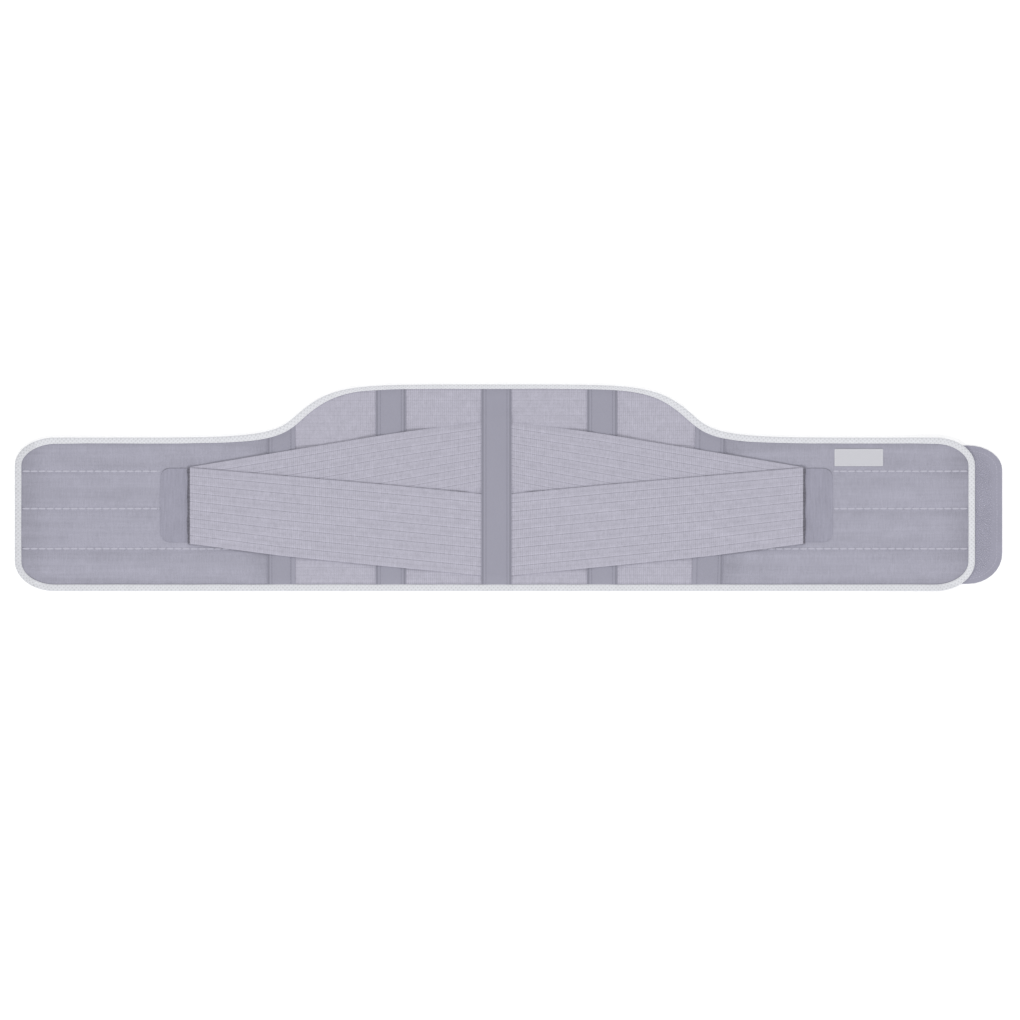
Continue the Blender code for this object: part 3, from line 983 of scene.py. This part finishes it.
bm = grid_of(list(range(len(edge) + 1)), list(range(len(profile))), binding_spot, binding_thread)
bmesh.ops.remove_doubles(bm, verts=bm.verts[:], dist=WELD)
bm.normal_update()
if max(bm.faces, key=lambda face: face.calc_center_median().z).normal.z < 0:
    bmesh.ops.reverse_faces(bm, faces=bm.faces[:])
binding_nodes = [f"edge_binding_{side}" for side in ("left", "right", "top", "bottom")]
binding = piece("folded_mesh_binding", bm, binding_look, binding_nodes)
wall(binding, TAPE_WALL, 0.2)
print(f"binding: {profile_run[-1]:.1f} mm of tape, {edge_length:.0f} mm long")

# %% [markdown]
# ## Plain tape
#
# The five upright casings and the seat of the strap ends are a closely woven plain tape, darker
# than the elastic. A checker of two fine waves reads as over-and-under weaving. Near each long
# edge run two rows of machine stitches, which pull the cloth into creases; the finish paints shade
# into them, so they read dark with a lighter strip between them.

# %% Finish: plain tape
STITCH_ROWS = (1.15, 4.8)
# Each crease's painted shade: its place in from the edge, how wide it fades, and how dark it is.
SHADED_ROWS = ((STITCH_ROWS[0] + 0.4, 1.5, -0.27), (STITCH_ROWS[1], 0.9, -0.09))


def plain_tape():
    made = Finish("casing_tape", 0.85)
    along, across = made.threads()
    weave = made.maths("MULTIPLY", made.wave(along, 1.1 * MM), made.wave(across, 0.9 * MM))
    side = made.maths("ABSOLUTE", across)
    patches = made.fleck((25.0, 14.0, 1.0))
    yarn = made.fleck((1300.0, 1300.0, 1300.0))
    pushes = [(weave, 0.03), (patches, 0.05), (yarn, 0.07)]
    # Painted shade in the stitched creases.
    for row, width, amount in SHADED_ROWS:
        off = made.maths("ABSOLUTE", made.maths("SUBTRACT", side, (CASING_HALF - row) * MM))
        pushes.append((made.ramp(off, width * MM, 0.0), amount))
    made.shade(colour(160, 159, 173), *pushes)
    return made.bump(weave, 0.12, 0.6).finished()


tape_look = plain_tape()

# %% [markdown]
# ## The casings
#
# Each casing is a flat tape sewn down on both sides, with a springy stay inside that lifts its
# middle. Its ends vanish under the binding. The middle one is sewn last, over the ends of the
# straps. A tape is a grid: its columns shape the two stitched borders and the raised middle, its
# rows climb from under one binding to under the other.

# %% Shape across a casing
CASING_WALL = 0.8
STAY_RISE = 0.45
STAY_HALF = CASING_HALF - 6.2
STAY_SLOPE = 3.2
BORDER_RISE = 0.12
CREASE_DEPTHS = (0.30, 0.21)
CREASE_HALF = 0.8


def casing_section(across):
    """Height of a casing's upper face over its flat border, at a place across it."""
    side = abs(across)
    high = STAY_RISE * smooth((STAY_HALF - side) / STAY_SLOPE)
    high += BORDER_RISE * smooth((CASING_HALF - side) / 0.9)
    for row, depth in zip(STITCH_ROWS, CREASE_DEPTHS):
        high -= depth * (1.0 - smooth(abs(side - CASING_HALF + row) / CREASE_HALF))
    return high


def columns_across():
    """Columns of a casing's grid: close together at the creases and along the edges."""
    columns = set(even(-9.0, 9.0, 1.5))
    for side, _ in SIDES:
        columns.update(side * (CASING_HALF - out) for out in (0.0, 0.35, 3.5))
        for row in STITCH_ROWS:
            offsets = (-CREASE_HALF, -CREASE_HALF / 2, 0.0, CREASE_HALF / 2, CREASE_HALF)
            columns.update(side * (CASING_HALF - row + off) for off in offsets)
    return sorted(columns)


print(f"{len(columns_across())} columns, and a stay that rises {casing_section(0.0):.2f} mm")

# %% Sew the casings
CALM_FROM = CASING_HALF - 3.2
TUCKED = 1.5
TUCK_HIGH = 1.95
TUCK_RUN = 4.5
CENTRE_LIFT = 1.25
# Each casing's place, how far its foot leans aside, and how much its inner side is turned in.
CASINGS = {
    "outer_left": (-SEAM_AT, 0.0, 2.4),
    "inner_left": (-107.8, 0.0, 0.0),
    "centre": (0.0, 0.0, 0.0),
    "inner_right": (107.8, 0.0, 0.0),
    "outer_right": (SEAM_AT, -3.5, 0.0),
}


def over_straps(up):
    """How far up onto the straps the middle casing has climbed, from 0 to 1."""
    return smooth((up - 9.0) / 5.0) * (1.0 - smooth((up - 174.0) / 16.0))


def casing(word, centre, lean, trim):
    top, _ = limits(-TUCKED, past_tape=True)
    bottom = TAPE_WIDTH - TUCKED
    centre += SEWN_SHIFT
    outer = word.startswith("outer")
    inner_side = -math.copysign(1.0, centre) if outer else 0.0

    def calm(across):
        """The inner side of an outer casing has no crease along its very edge."""
        if across * inner_side > 0:
            return min(across * inner_side, CALM_FROM) * inner_side
        return across

    def shape(across, share):
        trimmed = across * (1.0 - trim / CASING_HALF) if across * inner_side > 0 else across
        along = centre + trimmed + lean * (1.0 - share)
        up = bottom + (up_at(top, along) - bottom) * share
        down = 1.0 - smooth((inside_tape(along, up) + TUCKED) / (TUCKED + TUCK_RUN))
        high = CASING_LOW + (TUCK_HIGH - CASING_LOW) * down + CASING_WALL
        if word == "centre":
            high += CENTRE_LIFT * over_straps(up) * (1.0 - down)
        return spot(along, up, high + casing_section(calm(across)) * (1.0 - 0.7 * down))

    def thread(across, share):
        return share * (BACK_HEIGHT - 2 * bottom) * MM, calm(across) * MM

    bm = grid_of(columns_across(), even(0.0, 1.0, 1.0 / 64), shape, thread)
    face_up(bm)
    made = piece(f"casing_tape_{word}", bm, tape_look, [f"casing_{word}"])
    wall(made, CASING_WALL, 0.2)
    length = up_at(top, centre) - bottom


for word, (centre, lean, trim) in CASINGS.items():
    casing(word, centre, lean, trim)

# %% [markdown]
# ## The pull straps
#
# On each side an upper and a lower strap leave the middle casing, cross over the stays and meet
# on a tab, the lower one on top. Their elastic narrows towards the middle, so the ribs converge.
# They could be simulated as hanging cloth, but pulled elastic stays straight. Each is a grid
# between its two edges, rib by rib, that eases down a little between the casings that carry it.

# %% Measure the straps
# Each strap's edges: distance away from the middle, upper edge, lower edge.
UPPER_STRAP = (
    (2.0, 175.5, 107.9),
    (14.7, 173.8, 105.5),
    (107.9, 160.8, 87.5),
    (218.7, 142.6, 66.4),
    (312.6, 126.9, 49.6),
)
LOWER_STRAP = (
    (2.0, 98.4, 14.9),
    (14.7, 99.5, 15.9),
    (107.9, 108.5, 24.9),
    (218.7, 118.1, 36.0),
    (312.6, 126.2, 48.4),
)
# Height of the straps' underside by distance from the middle: they sag between the casings.
SEATS = (
    (2.0, 3.05),
    (52.0, 3.05),
    (92.0, 4.75),
    (124.0, 4.75),
    (148.0, 3.75),
    (178.0, 3.75),
    (202.0, 4.75),
    (236.0, 4.75),
    (262.0, 4.3),
    (284.0, 4.3),
    (300.0, 3.95),
    (320.0, 3.95),
)


def eased(rows, where):
    """Read a table of (place, value) rows with a smooth turn at every row."""
    for (start, low), (end, high) in zip(rows, rows[1:]):
        if where <= end:
            return low + (high - low) * smooth((where - start) / (end - start))
    return rows[-1][1]


def edges_at(strap, away):
    """A strap's upper and lower edge, this far away from the middle."""
    places = [row[0] for row in strap]
    return [float(np.interp(away, places, [row[column] for row in strap])) for column in (1, 2)]


def stacked(away, up):
    """How much the lower strap is raised where it lies on the upper one, from 0 to 1."""
    past = edges_at(UPPER_STRAP, away)[1] - up
    return smooth((10.0 - past) / 8.0) * smooth((away - 24.0) / 18.0)


def flat_area(rows):
    """Area between a strap's two edges, in square millimetres."""
    area = 0.0
    for (start, top, low), (end, next_top, next_low) in zip(rows, rows[1:]):
        area += (end - start) * (top - low + next_top - next_low) / 2
    return area


for level, rows in (("upper", UPPER_STRAP), ("lower", LOWER_STRAP)):
    print(f"{level} strap: {flat_area(rows):.0f} square millimetres of elastic")

# %% Lay the straps
STRAP_RIBS = 9
STRAP_STEP = 4.0
STRAP_WALL = 1.0
STACK = 1.6
STRAP_WAVER = 0.08
EDGE_SOFT = 0.3
EDGE_SOFT_RUN = 1.2
LAST_GROOVE = 8.8  # past this rib count the lower edge runs smooth, with no groove
# Near the middle the upper strap is pulled thin along its edges and lies close on the back.
THIN_EDGE = 0.9
THIN_RUN = 4.5


def strap(side, hand, level, rows):
    columns = even(rows[0][0], rows[-1][0], STRAP_STEP)
    across = [rib + share for rib in range(STRAP_RIBS) for share in RIB_STEPS]

    def shape(away, ribs):
        top, bottom = edges_at(rows, away)
        up = top + (bottom - top) * ribs / STRAP_RIBS
        high = eased(SEATS, away) + STRAP_WALL + RIB_DEPTH - rib_relief(min(ribs, LAST_GROOVE))
        from_edge = min(ribs, STRAP_RIBS - ribs) * (top - bottom) / STRAP_RIBS
        high -= EDGE_SOFT * (1.0 - smooth(from_edge / EDGE_SOFT_RUN))
        if level == "lower":
            high += STACK * stacked(away, up)
        else:
            near_middle = 1.0 - smooth((away - 55.0) / 45.0)
            high -= THIN_EDGE * (1.0 - smooth(from_edge / THIN_RUN)) * near_middle
        waver = noise.noise(Vector((away * 0.03, ribs * 0.35, 5.0 * side)))
        return spot(side * away + SEWN_SHIFT, up, high + waver * STRAP_WAVER)

    def thread(away, ribs):
        return away * MM, min(ribs, LAST_GROOVE)

    bm = grid_of(columns, [*across, float(STRAP_RIBS)], shape, thread)
    face_up(bm)
    word = f"{level}_{hand}"
    made = piece(f"elastic_strap_{word}", bm, strap_look, [f"strap_{word}"])
    wall(made, STRAP_WALL)
    widest = max(top - low for _, top, low in rows)
    flat_area(rows) * MM * MM


for side, hand in SIDES:
    strap(side, hand, "upper", UPPER_STRAP)
    strap(side, hand, "lower", LOWER_STRAP)

# %% [markdown]
# ## Cut plates
#
# The strap tabs, the closure tab and the label are cut shapes with round corners. They start as
# a ring of points, four quarter turns pushed out to the corners, filled to one face. Insets then
# draw the stitch lines round the edge, and an extrusion gives the thickness. That is how such a
# piece is really made: cut, then sewn round. A small class keeps each plate's measures, because
# the thread that is sewn round it later needs them too.

# %% Cut a rounded plate
CORNER_STEPS = 9
POINT = 0.01  # the smallest corner: none at all would leave edges of no length


class Plate:
    """A cut plate over a node's box; its corners are radii, anticlockwise from the top right."""

    def __init__(self, node, corners, trim=(0.0, 0.0)):
        low, high = (on_belt(corner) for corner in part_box(node))
        self.centre = tuple((a + b) / 2 for a, b in zip(low, high))[:2]
        self.size = tuple(b - a - less for a, b, less in zip(low, high, trim))
        self.corners = corners
        self.flat = tuple(length * MM for length in self.size)

    def face(self, bm, high, inset=0.0):
        """Add one face with round corners, this far in from the plate's edge."""
        made = bmesh.ops.create_circle(bm, cap_ends=True, segments=4 * CORNER_STEPS, radius=1.0)
        signs = ((1, 1), (-1, 1), (-1, -1), (1, -1))
        for index, vert in enumerate(made["verts"]):
            corner, step = divmod(index, CORNER_STEPS)
            turn = math.radians(90.0 * (corner + step / (CORNER_STEPS - 1)))
            wide, tall = (max(radius - inset, POINT) for radius in self.corners[corner])
            right, over = signs[corner]
            across = right * (self.size[0] / 2 - inset - wide) + wide * math.cos(turn)
            upward = over * (self.size[1] / 2 - inset - tall) + tall * math.sin(turn)
            vert.co = spot(self.centre[0] + across, self.centre[1] + upward, high)
        return bm.faces[:]


def cut(plate, high, thickness, bands):
    """Cut a plate, with bands drawn in from its edge, each (width, change of height)."""
    bm = bmesh.new()
    face = plate.face(bm, high)
    for width, change in bands:
        bmesh.ops.inset_region(bm, faces=face, thickness=width * MM, use_even_offset=True)
        for vert in face[0].verts:
            vert.co.z += change * MM
    border = [item for item in bm.edges if item.is_boundary]
    down = bmesh.ops.extrude_edge_only(bm, edges=border)["geom"]
    underside = min(vert.co.z for vert in bm.verts) - thickness * MM
    for vert in of_kind(down, bmesh.types.BMVert):
        vert.co.z = underside
    bmesh.ops.holes_fill(bm, edges=[item for item in bm.edges if item.is_boundary], sides=0)
    bmesh.ops.recalc_face_normals(bm, faces=bm.faces[:])
    return bm


print(f"a plate's edge is a ring of {4 * CORNER_STEPS} points")

# %% [markdown]
# ## The strap tabs
#
# Under the strap ends lies a tab of firm brushed cloth, sewn round its edge a few millimetres in.
# It is darker than the wing, combed upright, and its edge is pressed flat. The same cloth could
# be the wing's finish tinted darker, but its streaks are longer, so it has a finish of its own.

# %% Sew on the strap tabs
def tab_cloth():
    made = Finish("tab_cloth", 0.9)
    streaks = made.fleck((620.0, 45.0, 1.0), 3.0)
    patches = made.fleck((60.0, 45.0, 1.0))
    fuzz = made.fleck((1700.0, 1200.0, 1700.0), 3.0)
    made.shade(colour(158, 157, 172), (streaks, 0.34), (patches, 0.14), (fuzz, 0.40))
    nap = made.added(0.0, (streaks, 0.6), (fuzz, 0.4))
    return made.bump(nap, 0.3, 0.8).sheen(0.12).finished()


tab_look = tab_cloth()
TAB_CORNERS = ((10.0, 10.0),) * 4
TAB_EDGE_HIGH = 3.35
TAB_BANDS = ((0.9, 0.08), (1.6, 0.27), (0.5, -0.15), (0.5, 0.15), (1.5, 0.1))
tabs = {hand: Plate(f"strap_tab_{hand}", TAB_CORNERS) for _, hand in SIDES}
for hand, tab in tabs.items():
    bm = cut(tab, TAB_EDGE_HIGH, 0.4, TAB_BANDS)
    made = piece(f"sewn_tab_{hand}", bm, tab_look, [f"strap_tab_{hand}"])

# %% [markdown]
# ## The closure tab and its hooks
#
# The right end closes with a tab of hook tape, which catches the loop cloth anywhere on the left
# wing. The tape is a plain strip set with rows of small stiff hooks; from above they make a
# rough, glinting field. Bump alone would do from far off, but the hooks are what the tab is for,
# so each is a short curved post, built once and repeated.

# %% Finish: hook tape
def hook_tape(name, base, roughness):
    made = Finish(name, roughness)
    flecks = made.grain((700.0, 700.0, 700.0), 3.0)
    patches = made.fleck((45.0, 45.0, 1.0))
    # Painted glints: the brightest flecks are drawn lighter.
    made.shade(base, (made.ramp(flecks, 0.56, 0.75), 0.30), (patches, 0.14))
    return made.bump(flecks, 0.3, 0.7).finished()


hook_base_look = hook_tape("hook_tape", colour(158, 157, 172), 0.75)
hook_look = hook_tape("hook_wire", colour(205, 204, 216), 0.4)

# %% Cut the closure tab
SQUARE = (POINT, POINT)
CLOTH_HIGH = 1.2
CLOSURE_BANDS = ((0.3, 0.2), (3.4, 0.1), (0.5, -0.2), (0.5, 0.2), (1.3, 0.1))
closure = Plate("closure_tab", ((35.0, 25.0), SQUARE, SQUARE, (35.0, 31.0)))
bm = cut(closure, CLOTH_HIGH - 0.3, CLOTH_HIGH - 0.4, CLOSURE_BANDS)
hook_tab = piece("hook_tab", bm, hook_base_look, ["closure_tab"])

# %% Bend one hook
HOOK_WIRE = 0.26
HOOK_TALL = 0.85
# From the foot to the tip: how far aside each length goes, its share of the height, its turn.
HOOK_BENDS = ((0.0, 0.45, 0.0), (0.10, 0.28, 25.0), (0.22, 0.12, 40.0), (0.22, -0.10, 50.0))


def one_hook(bm):
    """A bent post: a ring of five points, drawn up and over along a quarter turn."""
    bmesh.ops.create_circle(bm, cap_ends=False, segments=5, radius=HOOK_WIRE * MM)
    ring = bm.edges[:]
    for aside, rise, tilt in HOOK_BENDS:
        grown = bmesh.ops.extrude_edge_only(bm, edges=ring)["geom"]
        ring = of_kind(grown, bmesh.types.BMEdge)
        tips = of_kind(grown, bmesh.types.BMVert)
        shift = Vector((aside * MM, 0.0, rise * HOOK_TALL * MM))
        centre = sum((vert.co for vert in tips), Vector()) / len(tips) + shift
        bmesh.ops.translate(bm, verts=tips, vec=shift)
        turn = Matrix.Rotation(math.radians(tilt), 3, "Y")
        bmesh.ops.rotate(bm, verts=tips, cent=centre, matrix=turn)
    bmesh.ops.contextual_create(bm, geom=ring)
    bmesh.ops.recalc_face_normals(bm, faces=bm.faces[:])


bm = bmesh.new()
one_hook(bm)
hook = as_mesh("hook", bm)
print(f"a hook of {len(hook.polygons)} faces")

# %% Set the hooks
HOOK_PITCH = 1.65
HOOK_SCATTER = 0.45
HOOK_BORDER = 4.5
HOOK_END = 10.5  # plain strip left for the seam along the outer end
HOOKS_FROM, HOOKS_RUN = REACH - 40.0, 80.0
tab_low = closure.centre[1] - closure.size[1] / 2
field_low = tab_low + HOOK_BORDER
field_top = closure.centre[1] + closure.size[1] / 2 - HOOK_BORDER
field_end = closure.centre[0] + closure.size[0] / 2 - HOOK_END


def in_field(along, up):
    """Is this place on the hook field, a border in from the tab's rounded outer edge?"""
    if not (field_low < up < field_top and along < field_end):
        return False
    for corner, bound, way in ((0, field_top, 1), (3, field_low, -1)):
        wide, tall = closure.corners[corner]
        across = along - (field_end - wide)
        over = way * (up - bound) + tall
        if across > 0 and over > 0 and math.hypot(across / wide, over / tall) > 1.0:
            return False
    return True


def past_belt(along, up):
    """Is this place outside the belt's own end, where the tab shows?"""
    _, index, _ = edge_tree.find((along, up, 0.0))
    off = Vector((along - edge[index][0], up - edge[index][1]))
    return off.dot(Vector(inward[index])) < -0.9


draw = random.Random(7)
bm = bmesh.new()
placed = 0
for column in range(int(HOOKS_RUN / HOOK_PITCH)):
    for row in range(int(closure.size[1] / HOOK_PITCH)):
        along = HOOKS_FROM + HOOK_PITCH * column
        up = tab_low + HOOK_PITCH * (row + 0.5 * (column % 2))
        if in_field(along, up) and past_belt(along, up):
            aside = draw.uniform(-HOOK_SCATTER, HOOK_SCATTER)
            over = draw.uniform(-HOOK_SCATTER, HOOK_SCATTER)
            turn = Matrix.Rotation(draw.uniform(0.0, 2 * math.pi), 4, "Z")
            place = spot(along + aside, up + over, CLOTH_HIGH - 0.05)
            stamp(bm, hook, Matrix.Translation(place) @ turn)
            placed += 1
piece("hook_field", bm, hook_look)
print(f"{placed} hooks on the closure tab")

# %% [markdown]
# ## The blank label
#
# A small satin label is sewn near the right end. It stays blank: only its folded border and the
# fine level yarns of satin show. It is a plate like the tabs, with a thin frame drawn round it.
# A woven pattern could follow a UV map, but noise drawn out along the yarns needs none.

# %% Sew on the label
def satin():
    made = Finish("label_satin", 0.55)
    yarn = made.fleck((300.0, 1500.0, 300.0))
    return made.shade(colour(204, 204, 210), (yarn, 0.07)).sheen(0.1).finished()


label_look = satin()
LABEL_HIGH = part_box("label")[1].z / MM - 0.1
LABEL_BANDS = ((0.3, 0.15), (1.9, 0.05), (0.4, -0.15), (0.6, 0.0), (0.8, 0.08))
label = Plate("label", ((1.2, 1.2),) * 4, trim=(1.4, 0.8))
bm = cut(label, LABEL_HIGH - 0.2, 0.3, LABEL_BANDS)
made = piece("blank_label", bm, label_look, ["label"])

# %% [markdown]
# ## Threads
#
# What holds the belt together is thread: light dashes along the quilting, dark rows down each
# casing, a fine row on the binding and round the tabs, and a dense overlock over the strap ends,
# its thread dark to stand in for the shadow in the gap at each strap's end.
# A dashed texture would look painted on. Each stitch is a small flattened bead, seated in its
# crease, with a few dozen faces.

# %% Finish: thread
def thread_finish(name, base):
    made = Finish(name, 0.7)
    twist = made.fleck((2500.0, 2500.0, 2500.0), 1.0)
    return made.shade(base, (twist, 0.25)).bump(twist, 0.1, 0.6).finished()


light_thread = thread_finish("light_thread", colour(189, 188, 201))
tape_thread = thread_finish("tape_thread", colour(146, 145, 159))
white_thread = thread_finish("white_thread", colour(226, 226, 231))
# Painted shadow: this dark thread stands in for the shadow in the gap at each strap's end.
shadow_thread = thread_finish("shadow_thread", colour(127, 125, 136))

# %% Sew with thread
# Each kind of stitch: its length, width and height.
CASING_STITCH = (2.5, 0.55, 0.4)
BINDING_STITCH = (2.5, 0.5, 0.3)
WRAP_STITCH = (2.9, 1.5, 2.7)
TAB_STITCH = (2.4, 0.5, 0.35)
CLOSURE_STITCH = (2.4, 0.6, 0.35)
CLOSURE_EDGE_STITCH = (1.5, 0.7, 0.35)
LABEL_STITCH = (1.5, 0.5, 0.35)

bm = bmesh.new()
on_side = Matrix.Rotation(math.radians(90), 4, "Y")
bmesh.ops.create_uvsphere(bm, u_segments=6, v_segments=5, radius=1.0, matrix=on_side)
for vert in bm.verts:
    vert.co.x = math.copysign(abs(vert.co.x) ** 0.5, vert.co.x)
bead = as_mesh("bead", bm)


def stitch(bm, centre, way, size):
    """One stitch: a bead stretched along its thread."""
    turn = Vector((way[0], way[1], 0.0)).to_track_quat("X", "Z").to_matrix().to_4x4()
    stretch = Matrix.Diagonal([measure / 2 * MM for measure in size] + [1.0])
    stamp(bm, bead, Matrix.Translation(spot(*centre)) @ turn @ stretch)


def sew_line(bm, start, end, pitch, size, high):
    """A straight row of stitches; high(along, up) says where the cloth is."""
    way = Vector(end) - Vector(start)
    count = max(1, round(way.length / pitch))
    for index in range(count):
        along, up = Vector(start) + way * ((index + 0.5) / count)
        stitch(bm, (along, up, high(along, up)), way.normalized(), size)


def surface_under(made, above):
    """A lookup in millimetres of the height above a piece's upper face at a place."""
    graph = bpy.context.evaluated_depsgraph_get()
    shaped = made.evaluated_get(graph)

    def height(along, up):
        start = spot(along, up, 20.0)
        hit, point, _, _ = shaped.ray_cast(start, Vector((0.0, 0.0, -1.0)))
        return (point.z / MM if hit else BODY_TOP) + above

    return height


print(f"a stitch of {len(bead.polygons)} faces")

# %% Quilting thread
QUILT_GAP = 0.1
TAB_OUTER = on_belt(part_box("strap_tab_right")[1])[0] - SEWN_SHIFT + 0.6
# Where each line comes out: the lowest from under the lower strap, the others past the tab.
QUILT_STARTS = (262.0, TAB_OUTER, TAB_OUTER)

bpy.context.view_layer.update()
for side, hand in SIDES:
    height = surface_under(wings[side], 0.1)
    bm = bmesh.new()
    for line, start in zip(QUILT_LINES, QUILT_STARTS):
        start += side * SEWN_SHIFT
        for index in range(math.ceil((QUILT_END - start) / QUILT_PITCH)):
            outer = QUILT_END - QUILT_PITCH * index
            inner = max(outer - QUILT_PITCH, start)
            along = side * (outer + inner) / 2
            size = (outer - inner - QUILT_GAP, 1.9, 1.1)
            stitch(bm, (along, line, height(along, line + 0.2)), (1.0, 0.0), size)
    piece(f"quilting_thread_{hand}", bm, light_thread)

# %% Casing thread
top, _ = limits(0.4, past_tape=True)
bm = bmesh.new()
for word, (centre, lean, trim) in CASINGS.items():
    height = surface_under(bpy.data.objects[f"casing_tape_{word}"], 0.04)
    for side, _ in SIDES:
        single = word.startswith("outer") and side * centre < 0
        for row in STITCH_ROWS[single:]:
            along = centre + SEWN_SHIFT + side * (CASING_HALF - row - trim * single)
            foot = (along + lean, TAPE_WIDTH + 0.4)
            sew_line(bm, foot, (along, up_at(top, along)), 3.1, CASING_STITCH, height)
piece("casing_thread", bm, tape_thread)

# %% Binding thread
BINDING_PITCH = 3.3
FROM_LIP = 1.3

bm = bmesh.new()
count = round(edge_length / BINDING_PITCH)
for index in range(count):
    station = int(round(index * len(edge) / count)) % len(edge)
    along, up = edge[station] + inward[station] * (tape_width[station] - FROM_LIP)
    stitch(bm, (along, up, TAPE_TOP + 0.06 + lift(along)), ahead[station], BINDING_STITCH)
piece("binding_thread", bm, white_thread)

# %% Overlock on the strap ends, in dark thread for the shadow there
WRAP_PITCH = 1.35
WRAP_HIGH = 5.3

bm = bmesh.new()
draw = random.Random(11)
reach, top, low = LOWER_STRAP[-1]
for side, _ in SIDES:
    for index in range(int((top - low - 1.0) / WRAP_PITCH) + 1):
        up = low + 0.6 + WRAP_PITCH * index
        sway = 0.35 * math.sin(up * 0.21) + draw.uniform(-0.15, 0.15)
        along = side * (reach + 1.1 + sway) + SEWN_SHIFT
        stitch(bm, (along, up, WRAP_HIGH), (1.0, draw.uniform(-0.2, 0.2)), WRAP_STITCH)
piece("strap_end_overlock_shadow", bm, shadow_thread)

# %% Tab, closure and label thread
def sew_round(bm, plate, inset, pitch, size, high):
    """Stitches round a rounded plate, a little way in from its edge."""
    shape = bmesh.new()
    plate.face(shape, high, inset)
    ring = np.array([on_belt(vert.co)[:2] for vert in shape.verts])
    shape.free()
    ring = np.vstack([ring, ring[:1]])
    run = np.concatenate([[0.0], np.cumsum(np.hypot(*np.diff(ring, axis=0).T))])
    count = round(run[-1] / pitch)
    for index in range(count):
        mark = run[-1] * index / count
        place = Vector([np.interp(mark, run, ring[:, axis]) for axis in (0, 1)])
        next_place = Vector([np.interp(mark + 0.3, run, ring[:, axis]) for axis in (0, 1)])
        stitch(bm, (*place, high), (next_place - place).normalized(), size)


bm = bmesh.new()
for tab in tabs.values():
    sew_round(bm, tab, 3.0, 3.0, TAB_STITCH, TAB_EDGE_HIGH + 0.23)
piece("tab_thread", bm, tape_thread)

bm = bmesh.new()
sew_round(bm, closure, 5.4, 3.0, CLOSURE_STITCH, CLOTH_HIGH)
sew_round(bm, closure, 0.9, 1.9, CLOSURE_EDGE_STITCH, CLOTH_HIGH - 0.1)
piece("closure_thread", bm, light_thread)

bm = bmesh.new()
sew_round(bm, label, 1.2, 1.9, LABEL_STITCH, LABEL_HIGH + 0.02)
piece("label_thread", bm, white_thread)
